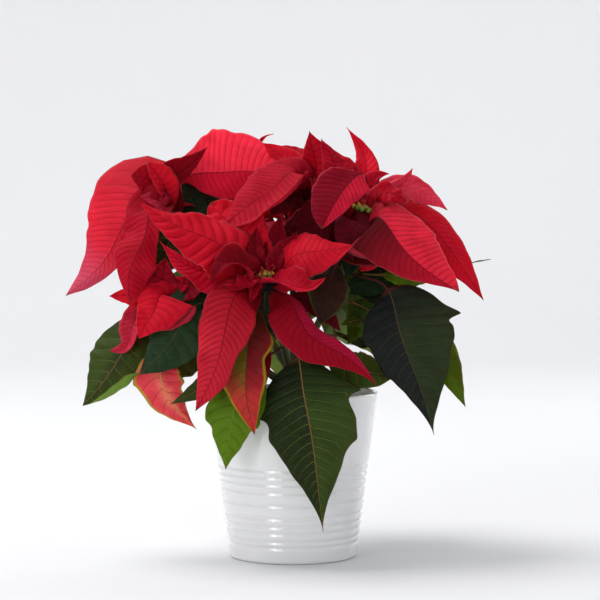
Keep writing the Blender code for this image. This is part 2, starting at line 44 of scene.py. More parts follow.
camera = bpy.data.objects.new("camera", bpy.data.cameras.new("camera"))
bpy.context.scene.collection.objects.link(camera)
camera.location = view["place"]
camera.rotation_euler = (math.radians(view["tilt"]), 0, 0)
camera.data.lens = view["lens"]
camera.data.sensor_width = view["sensor"]
bpy.context.scene.camera = camera
bpy.context.scene.view_settings.view_transform = "Standard"

studio = {
    "wallPlace": 3.2,
    "bendRadius": 1.0,
    "wallHeight": 2.4,
    "steps": 96,
    "skyColour": (0.93, 0.96, 1.0),
    "skyStrength": 0.30,
    "lamps": {
        "windowLight": dict(place=(-1.0, 0.2, 2.3), aim=(0, 0, 0.25), size=(1.3, 1.3), power=42),
        "frontFill": dict(place=(-1.3, -2.2, 1.0), aim=(0, 0, 0.2), size=(1.1, 1.1), power=11),
        "rightFill": dict(place=(2.0, -0.2, 0.9), aim=(0, 0, 0.2), size=(0.8, 1.6), power=3),
        "leftStrip": dict(place=(-1.05, -1.65, 0.75), aim=(0, 0, 0.06), size=(0.18, 0.9), power=2.4),
        "rightStrip": dict(place=(1.3, 1.45, 0.7), aim=(0, 0, 0.06), size=(0.22, 1.0), power=3.5),
        "wallLight": dict(place=(0, 1.6, 3.2), aim=(0, 3.2, 0.7), size=(5.0, 0.6), power=43),
    },
}


def smoothStep(low, high, value):
    # 0 below low, 1 above high, an S-curve between
    share = np.clip((value - low) / (high - low), 0, 1)
    return share * share * (3 - 2 * share)


def unit(vectors):
    return vectors / np.linalg.norm(vectors, axis=-1, keepdims=True)


def turned(first, second, angle):
    # a direction in the plane of two others, at an angle from the first
    return first * math.cos(angle) + second * math.sin(angle)


def meshObject(name, points, faces):
    mesh = bpy.data.meshes.new(name)
    mesh.from_pydata(points.reshape(-1, 3).tolist(), [], faces)
    mesh.validate()
    mesh.polygons.foreach_set("use_smooth", np.full(len(mesh.polygons), True))
    mesh.update()
    piece = bpy.data.objects.new(name, mesh)
    bpy.context.scene.collection.objects.link(piece)
    return piece


def addLight(name, place, aim, size, power):
    lamp = bpy.data.lights.new(name, "AREA")
    lamp.shape = "RECTANGLE"
    lamp.size, lamp.size_y = size
    lamp.energy = power
    holder = bpy.data.objects.new(name, lamp)
    bpy.context.scene.collection.objects.link(holder)
    holder.location = place
    holder.visible_camera = False
    toward = np.array(aim, float) - np.array(place, float)
    holder.rotation_euler = (math.acos(-toward[2] / np.linalg.norm(toward)), 0,
                             math.atan2(toward[1], toward[0]) - math.pi / 2)


class Wire:
    # One output socket, with the usual operators as Math nodes.
    def __init__(self, finish, socket):
        self.finish = finish
        self.socket = socket

    def __add__(self, other):
        return self.finish.maths("ADD", self, other)

    def __radd__(self, other):
        return self.finish.maths("ADD", other, self)

    def __sub__(self, other):
        return self.finish.maths("SUBTRACT", self, other)

    def __rsub__(self, other):
        return self.finish.maths("SUBTRACT", other, self)

    def __mul__(self, other):
        return self.finish.maths("MULTIPLY", self, other)

    def __rmul__(self, other):
        return self.finish.maths("MULTIPLY", other, self)

    def __truediv__(self, other):
        return self.finish.maths("DIVIDE", self, other)


class Finish:
    # A material, its Principled shader, and short ways to add nodes.
    def __init__(self, name, **constants):
        self.material = bpy.data.materials.new(name)
        self.material.use_nodes = True
        self.tree = self.material.node_tree
        self.shader = self.tree.nodes["Principled BSDF"]
        for socket, value in constants.items():
            self.shader.inputs[socket.replace("_", " ")].default_value = value

    def node(self, kind, settings, values, output=0):
        made = self.tree.nodes.new(kind)
        for key, value in settings.items():
            setattr(made, key, value)
        for key, value in values.items():
            self.feed(made.inputs[key], value)
        return Wire(self, made.outputs[output])

    def feed(self, socket, value):
        if isinstance(value, Wire):
            self.tree.links.new(value.socket, socket)
        else:
            socket.default_value = value

    def drive(self, name, value):
        self.feed(self.shader.inputs[name], value)

    def maths(self, operation, *values):
        return self.node("ShaderNodeMath", {"operation": operation}, dict(enumerate(values)))

    def ease(self, value, low, high):
        # 0 at low, 1 at high, an S-curve between; low may be the larger
        settings = {"interpolation_type": "SMOOTHSTEP"}
        return self.node("ShaderNodeMapRange", settings, {"Value": value, "From Min": low, "From Max": high})

    def mix(self, first, second, share):
        first, second = [(*c, 1) if isinstance(c, tuple) else c for c in (first, second)]
        return self.node("ShaderNodeMix", {"data_type": "RGBA"}, {0: share, 6: first, 7: second}, 2)

    def attribute(self, name, count=3):
        read = self.node("ShaderNodeAttribute", {"attribute_name": name}, {}, "Vector")
        return [self.node("ShaderNodeSeparateXYZ", {}, {0: read}, i) for i in range(count)]

    def position(self):
        return self.node("ShaderNodeTexCoord", {}, {}, "Object")

    def noise(self, scale, detail=2):
        values = {"Vector": self.position(), "Scale": scale, "Detail": detail}
        return self.node("ShaderNodeTexNoise", {}, values)

    def cells(self, scale):
        settings = {"feature": "DISTANCE_TO_EDGE"}
        return self.node("ShaderNodeTexVoronoi", settings, {"Vector": self.position(), "Scale": scale})

    def bump(self, height, distance, strength=1.0):
        values = {"Height": height, "Distance": distance, "Strength": strength}
        self.drive("Normal", self.node("ShaderNodeBump", {}, values))

    def close(self, colour, roughness, height, distance, strength):
        self.drive("Base Color", colour)
        self.drive("Roughness", roughness)
        self.bump(height, distance, strength)
        return self.material


# Leaf colours: upper side, underside, side veins, midrib, rim and stalk, then what differs over the blade.
leafLooks = {
    # bright, crimson, deep and maroon are one bract red in steps: partly painted shade for bracts that sit
    # deeper in the crown, partly a real spread of tone.
    "bright": dict(top=(0.70, 0.006, 0.024), under=(0.66, 0.030, 0.060), vein=(0.34, 0.002, 0.012),
                   rib=(0.26, 0.003, 0.012), edge=(0.78, 0.09, 0.12), stalk=(0.36, 0.015, 0.02)),
    "crimson": dict(top=(0.44, 0.003, 0.018), under=(0.44, 0.012, 0.035), vein=(0.17, 0.001, 0.008),
                    rib=(0.15, 0.001, 0.007), edge=(0.66, 0.05, 0.08), stalk=(0.25, 0.01, 0.02)),
    "deep": dict(top=(0.22, 0.0015, 0.010), under=(0.34, 0.006, 0.022), vein=(0.10, 0.001, 0.005),
                 rib=(0.09, 0.001, 0.005), edge=(0.55, 0.03, 0.06), stalk=(0.20, 0.008, 0.012)),
    "maroon": dict(top=(0.085, 0.001, 0.006), under=(0.13, 0.003, 0.012), vein=(0.035, 0.0006, 0.003),
                   rib=(0.03, 0.0006, 0.003), edge=(0.30, 0.01, 0.03), stalk=(0.10, 0.006, 0.008)),
    "pink": dict(top=(0.70, 0.030, 0.070), under=(0.72, 0.08, 0.12), vein=(0.48, 0.008, 0.028),
                 rib=(0.46, 0.008, 0.028), edge=(0.82, 0.16, 0.20), stalk=(0.45, 0.03, 0.05)),
    # Painted light: the arching bract runs into a paler pink towards its tip, where light falls on it and
    # shines through it.
    "arching": dict(top=(0.74, 0.016, 0.040), under=(0.62, 0.05, 0.09), vein=(0.46, 0.006, 0.024),
                    rib=(0.16, 0.010, 0.014), edge=(0.82, 0.12, 0.16), stalk=(0.40, 0.02, 0.03),
                    end=(0.58, 0.07, 0.13)),
    # Painted shade: the hanging bract is darker above, in shade, and lighter red towards its tip.
    "hanging": dict(top=(0.50, 0.004, 0.018), under=(0.62, 0.030, 0.060), vein=(0.26, 0.002, 0.010),
                    rib=(0.20, 0.002, 0.009), edge=(0.74, 0.07, 0.10), stalk=(0.36, 0.015, 0.02),
                    end=(0.86, 0.024, 0.052), endRange=(0.30, 0.80)),
    # Painted light and shade: one half of the folded bract lit, the other in shade.
    "halfShaded": dict(top=(0.60, 0.008, 0.026), under=(0.60, 0.03, 0.06), vein=(0.28, 0.002, 0.012),
                       rib=(0.16, 0.002, 0.008), edge=(0.78, 0.09, 0.12), stalk=(0.36, 0.015, 0.02),
                       whole=True, before=(0.74, 0.016, 0.042), after=(0.58, 0.006, 0.028)),
    # Painted light and shade: one half lit, the other deep in shade near the base and less so towards the
    # tip.
    "shadedHalfDark": dict(top=(0.60, 0.008, 0.026), under=(0.60, 0.03, 0.06), vein=(0.20, 0.002, 0.010),
                     rib=(0.12, 0.001, 0.007), edge=(0.78, 0.09, 0.12), stalk=(0.36, 0.015, 0.02), whole=True,
                     before=(0.78, 0.018, 0.045), after=(0.075, 0.0006, 0.004),
                     afterEnd=(0.46, 0.006, 0.024)),
    # Painted light and shade: the two halves of a folded bract, one lit and one in shade, as two reds.
    "shadedHalfRed": dict(top=(0.36, 0.004, 0.022), under=(0.44, 0.015, 0.04), vein=(0.16, 0.001, 0.008),
                    rib=(0.16, 0.001, 0.008), edge=(0.66, 0.05, 0.09), stalk=(0.25, 0.01, 0.02), whole=True,
                    before=(0.42, 0.006, 0.038), after=(0.30, 0.002, 0.012)),
    # Painted light and shade: one half lit, the other half in shade as maroon.
    "shadedHalfMaroon": dict(top=(0.40, 0.004, 0.020), under=(0.46, 0.015, 0.04), vein=(0.16, 0.001, 0.008),
                       rib=(0.12, 0.001, 0.006), edge=(0.66, 0.05, 0.08), stalk=(0.25, 0.01, 0.02),
                       whole=True, before=(0.58, 0.010, 0.035), after=(0.20, 0.0015, 0.012)),
    "green": dict(top=(0.028, 0.060, 0.006), under=(0.13, 0.25, 0.035), vein=(0.15, 0.19, 0.030),
                  middle=(0.010, 0.025, 0.007), rib=(0.26, 0.12, 0.04), stalk=(0.12, 0.04, 0.02)),
    # Painted light and shade: one half of the leaf lit green, the other near black in shade.
    "shadedHalfGreen": dict(top=(0.026, 0.050, 0.008), under=(0.13, 0.25, 0.035), vein=(0.17, 0.21, 0.040),
                      rib=(0.28, 0.14, 0.05), stalk=(0.12, 0.04, 0.02), whole=True,
                      before=(0.028, 0.062, 0.010), after=(0.008, 0.020, 0.004)),
    "dark": dict(top=(0.008, 0.022, 0.008), under=(0.035, 0.07, 0.018), vein=(0.035, 0.065, 0.015),
                 rib=(0.06, 0.05, 0.02), stalk=(0.07, 0.012, 0.012)),
    # Painted reflection: the after half is bluish black for the sky's sheen on the leaf; the before half is
    # its dark green.
    "slate": dict(top=(0.014, 0.030, 0.013), under=(0.04, 0.07, 0.025), vein=(0.060, 0.095, 0.028),
                  rib=(0.10, 0.07, 0.035), stalk=(0.09, 0.016, 0.016), whole=True,
                  before=(0.018, 0.036, 0.012), after=(0.009, 0.013, 0.014)),
    "lime": dict(top=(0.075, 0.16, 0.004), under=(0.17, 0.28, 0.015), vein=(0.045, 0.10, 0.004),
                 rib=(0.14, 0.22, 0.02), stalk=(0.12, 0.08, 0.02)),
    "coral": dict(top=(0.76, 0.065, 0.085), under=(0.60, 0.14, 0.09), vein=(0.36, 0.02, 0.015),
                  rib=(0.60, 0.30, 0.09), stalk=(0.40, 0.08, 0.04), margin=(0.42, 0.32, 0.03),
                  middle=(0.88, 0.24, 0.15)),
    "turning": dict(top=(0.58, 0.036, 0.036), under=(0.45, 0.10, 0.05), vein=(0.10, 0.03, 0.006),
                    rib=(0.06, 0.025, 0.006), stalk=(0.20, 0.06, 0.02), margin=(0.42, 0.28, 0.015),
                    before=(0.20, 0.006, 0.016), after=(0.12, 0.10, 0.008)),
    "umber": dict(top=(0.030, 0.010, 0.005), under=(0.07, 0.04, 0.015), vein=(0.018, 0.006, 0.003),
                  rib=(0.08, 0.012, 0.012), stalk=(0.12, 0.015, 0.015), margin=(0.05, 0.075, 0.010)),
}
leafSkin = {"ribWidth": 0.6, "veinWidth": 0.30, "furrowWidth": 1.6, "netScale": 520, "mottleScale": 55,
            "grainScale": 1400, "crumpleScale": 230, "tipColour": (0.07, 0.03, 0.01), "tipShare": 0.8,
            "rimShare": 0.5, "baseShade": 0.8, "mottleShade": 0.28, "furrowShade": 0.16, "netShare": 0.14,
            "bumpDepth": 0.0008, "bumpStrength": 0.9}
# Green leaves are a little glossier than red ones, and their veins show more.
leafSheen = {"green": dict(roughness=0.42, glow=0.10, gloss=0.09, veinShare=0.8),
             "red": dict(roughness=0.55, glow=0.25, gloss=0.06, veinShare=0.45)}


def leafFinish(name, look, roughness, glow, gloss, veinShare):
    finish = Finish(name, Roughness=roughness, Subsurface_Weight=glow, Subsurface_Scale=0.003,
                    Specular_IOR_Level=gloss)
    across, veinPlace, under = finish.attribute("leafPlace")
    fromRib, spacing, blade = finish.attribute("leafSize")
    stalk, tone = finish.attribute("leafKind", 2)
    reach = finish.maths("ABSOLUTE", across)
    mottle = finish.noise(leafSkin["mottleScale"], 4)
    grain = finish.noise(leafSkin["grainScale"], 1)
    crumple = finish.noise(leafSkin["crumpleScale"], 3)
    net = finish.ease(finish.cells(leafSkin["netScale"]), 0.10, 0.0)
    rib = finish.ease(fromRib / (leafSkin["ribWidth"] * (1.25 - blade)), 1.0, 0.35)
    fromVein = finish.maths("PINGPONG", veinPlace, 0.5) * spacing
    vein = finish.ease(fromVein / (leafSkin["veinWidth"] * (1.5 - reach)), 1.0, 0.2)
    vein = vein * finish.ease(reach, 1.0, 0.75)
    colour = look["top"]
    # before and after colour the blade's two halves: painted light and shade for the half looks, the leaf's
    # own colours on the turning leaf.
    if "before" in look:
        young = 1.0 if look.get("whole") else finish.ease(blade + mottle * 0.3, 0.95, 0.62)
        after = look["after"]
        if "afterEnd" in look:
            after = finish.mix(after, look["afterEnd"], finish.ease(blade + mottle * 0.2, 0.35, 0.95))
        halves = finish.mix(look["before"], after, finish.ease(across, -0.03, 0.03))
        colour = finish.mix(colour, halves, young)
    # end runs the colour into another towards the tip: painted shade on the hanging bract, painted light on
    # the arching one.
    if "end" in look:
        endRange = look.get("endRange", (0.62, 1.0))
        colour = finish.mix(colour, look["end"], finish.ease(blade + mottle * 0.2, *endRange))
    if "middle" in look:
        colour = finish.mix(colour, look["middle"], finish.ease(reach + mottle * 0.8, 0.85, 0.25))
    if "margin" in look:
        colour = finish.mix(colour, look["margin"], finish.ease(reach + mottle * 0.25, 0.93, 1.08))
    deeper = tuple(0.42 * c for c in look.get("after", look["top"]))
    colour = finish.mix(colour, deeper, finish.ease(mottle, 0.42, 0.72) * leafSkin["mottleShade"])
    # Painted shade in the furrows between the side veins, for the shadow of the quilting, together with the
    # blade's own darker tone there.
    furrow = finish.ease(fromVein / leafSkin["furrowWidth"], 1.0, 0.0) * finish.ease(reach, 0.98, 0.6)
    colour = finish.mix(colour, deeper, furrow * leafSkin["furrowShade"])
    colour = finish.mix(colour, look["vein"], net * leafSkin["netShare"])
    colour = finish.mix(colour, look["vein"], vein * veinShare)
    below = finish.mix(look["under"], look["vein"], vein * 0.25 + net * 0.12)
    colour = finish.mix(colour, below, under)
    # Painted light: a paler rim where light shines through the thin margin.
    if "edge" in look:
        colour = finish.mix(colour, look["edge"], finish.ease(reach, 0.955, 0.995) * leafSkin["rimShare"])
    # Painted shade: darker towards the base, where the bracts of a head shade each other.
    colour = finish.mix(colour, deeper, finish.ease(blade, 0.38, 0.02) * leafSkin["baseShade"])
    colour = finish.mix(colour, look["rib"], rib)
    colour = finish.mix(colour, leafSkin["tipColour"], finish.ease(blade, 0.955, 1.0) * leafSkin["tipShare"])
    colour = finish.mix(colour, look["stalk"], stalk)
    # Each row's tone scales its colour: partly its own tone, partly painted light and shade for how lit or
    # shaded it sits.
    shade = finish.node("ShaderNodeCombineXYZ", {}, {0: tone, 1: tone, 2: tone})
    colour = finish.node("ShaderNodeVectorMath", {"operation": "MULTIPLY"}, {0: colour, 1: shade})
    relief = crumple * 0.9 - vein * 0.5 - rib * 0.4 - net * 0.16 + grain * 0.10
    return finish.close(colour, roughness - 0.06 + mottle * 0.14, relief, leafSkin["bumpDepth"],
                        leafSkin["bumpStrength"])


leafMaterials = {}
greenLooks = ("green", "shadedHalfGreen", "dark", "slate", "lime", "umber")
for look, colours in leafLooks.items():
    sheen = leafSheen["green" if look in greenLooks else "red"]
    leafMaterials[look] = leafFinish(f"{look}Leaf", colours, **sheen)
print("leaf finishes:", len(leafMaterials))


lineSamples = 240


def smoothLine(points, count=lineSamples):
    # a natural cubic spline through the points, read at equal steps of its length
    points = np.asarray(points, float)
    chord = np.linalg.norm(np.diff(points, axis=0), axis=1)
    knots = np.concatenate([[0], np.cumsum(chord)])
    size = len(points)
    matrix = np.eye(size)
    right = np.zeros((size, 3))
    for i in range(1, size - 1):
        matrix[i, i - 1:i + 2] = chord[i - 1], 2 * (chord[i - 1] + chord[i]), chord[i]
        right[i] = 6 * (points[i + 1] - points[i]) / chord[i]
        right[i] -= 6 * (points[i] - points[i - 1]) / chord[i - 1]
    bend = np.linalg.solve(matrix, right)
    place = np.linspace(0, knots[-1], lineSamples)
    k = np.clip(np.searchsorted(knots, place, side="right") - 1, 0, size - 2)
    after = (knots[k + 1] - place)[:, None]
    before = (place - knots[k])[:, None]
    span = chord[k][:, None]
    line = (bend[k] * after ** 3 + bend[k + 1] * before ** 3) / (6 * span)
    line += (points[k] / span - bend[k] * span / 6) * after
    line += (points[k + 1] / span - bend[k + 1] * span / 6) * before
    length = np.concatenate([[0], np.cumsum(np.linalg.norm(np.diff(line, axis=0), axis=1))])
    even = np.linspace(0, length[-1], count)
    return np.stack([np.interp(even, length, line[:, i]) for i in range(3)], axis=1), length[-1]


# Routes in millimetres, along the frame's own axes. Radii in metres.
stem = {
    "branches": {
        "front": [(-1, 0, 150), (-8, -14, 180), (-18, -32, 212), (-25, -44, 240)],
        "left": [(-3, 2, 158), (-30, 6, 200), (-70, 8, 250), (-100, 8, 285), (-110, 7, 300)],
        "low": [(-2, 0, 140), (-30, -6, 165), (-66, -16, 190), (-95, -24, 208), (-104, -27, 218)],
        "top": [(-1, 1, 160), (6, 12, 215), (14, 26, 270), (20, 34, 312)],
        "right": [(0, 0, 152), (22, -2, 200), (44, -6, 250), (57, -8, 292)],
        "back": [(-1, 2, 148), (0, 30, 195), (0, 60, 245), (0, 76, 282)],
    },
    "route": [(0, 0, 78), (0, 0, 112), (-1, 0, 140), (-2, 0, 166)],
    "radius": 0.0050,
    "branchRadius": 0.0032,
    "tipRadius": 0.0025,
}
branchLines = {name: smoothLine(np.array(route, float) * mm) for name, route in stem["branches"].items()}

# Where along the blade it is widest, and how fast it narrows to the tip.
shapes = {"bract": (0.44, 1.10), "leaf": (0.33, 1.80), "broad": (0.40, 1.15)}
veinGap = {"leaf": 10.0, "bract": 5.5}  # mm between side veins along the midrib
# What every blade shares, in metres unless a line says mm.
leafBuild = {
    "root": 0.0006, "stub": 0.005,  # how deep the stalk starts in the bark, and its straight start
    "stalkHalf": 0.0010,  # half the stalk's width
    "thin": 0.00022, "ridge": 0.0008,  # half the blade's thickness, and the midrib's ridge under it
    "heave": 0.8, "frill": 0.5,  # mm: waves over the blade, and at its margin
    "veinShear": 0.115,  # how far the side veins sweep towards the tip
    "rowStep": 1.4, "columnStep": 1.9,  # mm between the mesh's lines
}
fullTurn = 6.28  # for random angles and phases
goldenAngle = 2.39996


def leafMidrib(row):
    # leaves the bark at right angles, then runs through the row's own points
    line, length = branchLines[row["branch"]]
    last = lineSamples - 1
    share = 1 - row["drop"] * mm / length
    index = int(round(share * last))
    along = unit(line[min(index + 1, last)] - line[index - 1])
    points = np.array(row["route"], float) * mm
    toward = points[0] - line[index]
    radial = unit(toward - (toward @ along) * along)
    bark = stem["branchRadius"] + (stem["tipRadius"] - stem["branchRadius"]) * share
    base = line[index] + radial * (bark - leafBuild["root"])
    return smoothLine(np.vstack([base, base + radial * leafBuild["stub"], points]))


def toothShape(blade, teeth):
    # each tooth swells up to its place, drops sharply into a notch and recovers
    total = np.zeros_like(blade)
    for place, depth, span in teeth:
        away = blade - place
        rise = np.exp(-np.minimum(away, 0) ** 2 / span ** 2) * (away < 0)
        fall = (1.7 * np.exp(-np.maximum(away, 0) / (0.22 * span))
                - 0.7 * np.exp(-np.maximum(away, 0) ** 2 / span ** 2)) * (away >= 0)
        total += depth * (rise + fall)
    return total


def halfOutline(blade, peak, taper):
    # rises from the base to 1 at the peak, then narrows to the tip
    rise = taper * peak / (1 - peak)
    return (blade / peak) ** rise * ((1 - blade) / (1 - peak)) ** taper


def pair(value):
    return value if isinstance(value, tuple) else (value, value)


def leafSurface(row, rows, columns):
    # Parameters: across from -1 to 1, and vein order from 0 at the blade's base to 1 at its tip.
    # Each half is an arc that leaves the midrib at the fold angle and turns by the curl angle.
    # Side veins run along rows, which sweep towards the tip as they near the margin.
    rng = np.random.default_rng(sum(map(ord, row["node"])))
    line, length = leafMidrib(row)
    tangent = unit(np.gradient(line, axis=0))
    stalkShare = min(row.get("stalk", 6) * mm / length, 0.8)
    stalkRows = max(4, int(stalkShare * length / (3 * mm)))
    order = np.concatenate([np.zeros(stalkRows), np.linspace(0, 1, rows + 1)])[:, None]
    across = np.linspace(-1, 1, columns + 1)[None, :]
    reach = np.abs(across)
    side = np.sign(across)
    blade = order + leafBuild["veinShear"] * reach ** 1.3 * 4 * order * (1 - order)
    place = stalkShare + (1 - stalkShare) * blade
    place[:stalkRows] = np.linspace(0, stalkShare, stalkRows, endpoint=False)[:, None]
    twist = math.radians(row.get("twist", 0))
    samples = np.linspace(0, 1, lineSamples)
    start, end = row["face"], row.get("endFace", row["face"])
    face = np.outer(1 - samples, start) + np.outer(samples, end)
    normal = unit(face - (face * tangent).sum(1)[:, None] * tangent)
    beside = np.cross(tangent, normal)
    turn = (twist * samples ** 2)[:, None]
    normal, beside = (normal * np.cos(turn) + beside * np.sin(turn),
                      beside * np.cos(turn) - normal * np.sin(turn))

    def along(values):
        return np.stack([np.interp(place, samples, values[:, i]) for i in range(3)], axis=-1)

    inner = np.clip(blade, 0, 1)
    shape = row.get("shape", "bract")
    if not isinstance(shape[0], tuple):
        shape = (shapes.get(shape, shape),) * 2
    outline = np.where(across < 0, halfOutline(inner, *shape[0]), halfOutline(inner, *shape[1]))
    widths = np.array(pair(row["width"]), float) * mm
    half = np.where(across < 0, widths[0], widths[1]) * outline
    teeth = row.get("teeth", ((), ()))
    notch = np.where(across < 0, toothShape(inner, teeth[0]), toothShape(inner, teeth[1]))
    for onSide, lobes in zip((across < 0, across > 0), row.get("lobes", ((), ()))):
        for spot, amount, span in lobes:
            notch = notch + amount * np.exp(-((inner - spot) / span) ** 2) * onSide
    phases = rng.uniform(0, fullTurn, 8)
    margin = 0.018 * np.sin(31 * inner + phases[0] + side) + 0.012 * np.sin(53 * inner + phases[1] - side)
    half = half * (1 + notch + margin)
    stalkPart = 1 - smoothStep(0, 0.05, blade)
    stalkPart[:stalkRows] = 1
    half = np.maximum(half, leafBuild["stalkHalf"] * np.clip(1.2 - blade, 0.15, 1))

    curl = np.where(across < 0, *pair(row.get("curl", 0)))
    angle = np.radians(row.get("fold", 0)) + np.radians(curl) * reach
    for rollSide, rollPlace, rollSpan, rollTurn in row.get("rolls", ()):
        # the margin turns over towards the viewer, beginning half way out
        near = np.exp(-((inner - rollPlace) / rollSpan) ** 4) * (side * rollSide > 0)
        angle = angle + math.radians(rollTurn) * smoothStep(0.5, 0.85, reach) * near
    angle = angle * (1 - stalkPart)

    # the half's arc, summed outwards from the midrib
    middle = columns // 2
    step = 1 / middle
    out = np.zeros_like(place)
    lift = np.zeros_like(place)
    for direction in (1, -1):
        run = slice(middle, None) if direction > 0 else slice(middle, None, -1)
        bend = angle[:, run]
        centre = 0.5 * (bend[:, 1:] + bend[:, :-1])
        outward = np.cumsum(np.cos(centre), axis=1) * step
        upward = np.cumsum(np.sin(centre), axis=1) * step
        out[:, run] = np.hstack([np.zeros((len(place), 1)), outward]) * half[:, run] * direction
        lift[:, run] = np.hstack([np.zeros((len(place), 1)), upward]) * half[:, run]

    full = np.sqrt(np.clip(outline, 0, None)) * (1 - stalkPart)
    ruffle, waves = row.get("ruffle", (0, 2))
    phase = np.where(across < 0, 0.6, 2.4)
    lift += ruffle * mm * reach ** 1.6 * np.sin(2 * math.pi * waves * blade + phase) * full
    frill = row.get("frill", leafBuild["frill"])
    frillTurn = 2 * math.pi * (2.7 * waves + 2) * blade
    lift += frill * mm * reach ** 3 * np.sin(frillTurn + phases[2] + side) * full
    lift += leafBuild["heave"] * mm * full * (np.sin(7 * blade + 3 * across + phases[3])
                            + 0.6 * np.sin(13 * blade - 4 * across + phases[4])
                            + 0.4 * np.sin(21 * blade + 6 * across + phases[5])) * reach ** 0.5
    bladeLength = (1 - stalkShare) * length
    kind = "leaf" if row["look"] in greenLooks + ("coral", "turning") else "bract"
    veins = max(5, round(bladeLength / (row.get("gap", veinGap[kind]) * mm)))
    veinPlace = order * veins + 0.25 * side + 0.25
    puff = row.get("pleat", 0.35) * mm * (0.5 - np.abs(np.cos(math.pi * veinPlace)) ** 3)
    lift += puff * np.sqrt(reach) * (1 - 0.5 * reach ** 4) * full

    centreLine, up, sideways = along(line), unit(along(normal)), unit(along(beside))
    surface = centreLine + out[..., None] * sideways + lift[..., None] * up
    shapeData = dict(across=across + 0 * place, veinPlace=veinPlace + 0 * place, blade=inner + 0 * place,
                     fromRib=np.abs(out) / mm, spacing=bladeLength / veins / mm, stalk=stalkPart + 0 * place,
                     reach=reach + 0 * place)
    return surface, shapeData


class Heap:
    # Collects closed shapes, with their colour data, into one mesh.
    def __init__(self):
        self.points, self.faces, self.data, self.materials, self.slots = [], [], {}, [], []
        self.count = 0

    def add(self, points, faces, material, **data):
        points = points.reshape(-1, 3)
        self.points.append(points)
        self.faces += [[corner + self.count for corner in face] for face in faces]
        if material not in self.materials:
            self.materials.append(material)
        self.slots += [self.materials.index(material)] * len(faces)
        for key, columns in data.items():
            columns = [np.broadcast_to(column, len(points)) for column in columns]
            self.data.setdefault(key, []).append(np.stack(columns, axis=1))
        self.count += len(points)

    def build(self, name, slot, *nodes):
        piece = meshObject(name, np.vstack(self.points), self.faces)
        for material in self.materials:
            piece.data.materials.append(material)
        piece.data.polygons.foreach_set("material_index", self.slots)
        for key, parts in self.data.items():
            held = piece.data.attributes.new(key, "FLOAT_VECTOR", "POINT")
            held.data.foreach_set("vector", np.vstack(parts).ravel())
        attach(piece, "root")
        if nodes:
            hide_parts(*nodes)


def quads(index, flip=False):
    a, b, c, d = index[:-1, :-1], index[:-1, 1:], index[1:, 1:], index[1:, :-1]
    corners = (a, d, c, b) if flip else (a, b, c, d)
    return np.stack(corners, axis=-1).reshape(-1, 4).tolist()


def addLeaf(heap, row):
    length = leafMidrib(row)[1]
    width = max(pair(row["width"])) * mm
    coarse = row.get("grid", 1.0)
    rows = int(np.clip(length / (leafBuild["rowStep"] * coarse * mm), 16, 100))
    columns = 2 * int(np.clip(width / (leafBuild["columnStep"] * coarse * mm), 4, 18))
    surface, data = leafSurface(row, rows, columns)
    normals = unit(np.cross(np.gradient(surface, axis=1), np.gradient(surface, axis=0)) + 1e-15)
    thin = leafBuild["thin"] * np.sqrt(1 - data["reach"] ** 8)
    tube = np.sqrt(np.clip(1 - data["reach"] ** 2, 0, 1)) * leafBuild["stalkHalf"]
    ridge = leafBuild["ridge"] * np.exp(-(data["fromRib"] / 0.8) ** 2) * (1 - data["blade"]) ** 1.3
    topLift = thin + (tube - thin) * data["stalk"]
    underLift = topLift + ridge * (1 - data["stalk"])
    edge = np.zeros_like(thin, bool)
    edge[:, 0] = edge[:, -1] = edge[-1] = True
    topLift[edge] = underLift[edge] = 0
    top = surface + topLift[..., None] * normals
    under = surface - underLift[..., None] * normals
    high, wide = thin.shape
    topIndex = np.arange(high * wide).reshape(high, wide)
    underIndex = topIndex.copy()
    underIndex[~edge] = high * wide + np.arange((~edge).sum())
    cap = quads(np.stack([topIndex[0], underIndex[0]]), True)
    faces = [list(dict.fromkeys(face)) for face in quads(topIndex) + quads(underIndex, True) + cap]

    def spread(values):
        return np.concatenate([values.reshape(-1), values[~edge]])

    isUnder = np.concatenate([np.zeros(high * wide), np.ones((~edge).sum())])
    heap.add(np.vstack([top.reshape(-1, 3), under[~edge]]), faces, leafMaterials[row["look"]],
             leafPlace=(spread(data["across"]), spread(data["veinPlace"]), isUnder),
             leafSize=(spread(data["fromRib"]), data["spacing"], spread(data["blade"])),
             leafKind=(spread(data["stalk"]), row.get("tone", 1.0), 0.0))


# Each row, in millimetres: its node, how far below the branch tip it leaves, points of its midrib,
# its half-width on each side, and the way it faces.
backBract = dict(fold=-8, curl=-10, ruffle=(1.5, 2))
backLeaf = dict(fold=-6, curl=-8, stalk=36, shape="leaf")


def bract(node, drop, route, width, face=(0, -0.9, 0.3), **rest):
    # grows on the branch that its name begins with, unless the row names another
    usual = dict(branch=node.split("_")[0], look="bright")
    return dict(usual, node=node, drop=drop, route=route, width=width, face=face) | rest


def leaf(node, branch, drop, route, width, face=(0, -0.9, 0.3), **rest):
    usual = dict(branch=branch, look="green", shape="broad")
    return bract(node, drop, route, width, face, **dict(usual, **rest))


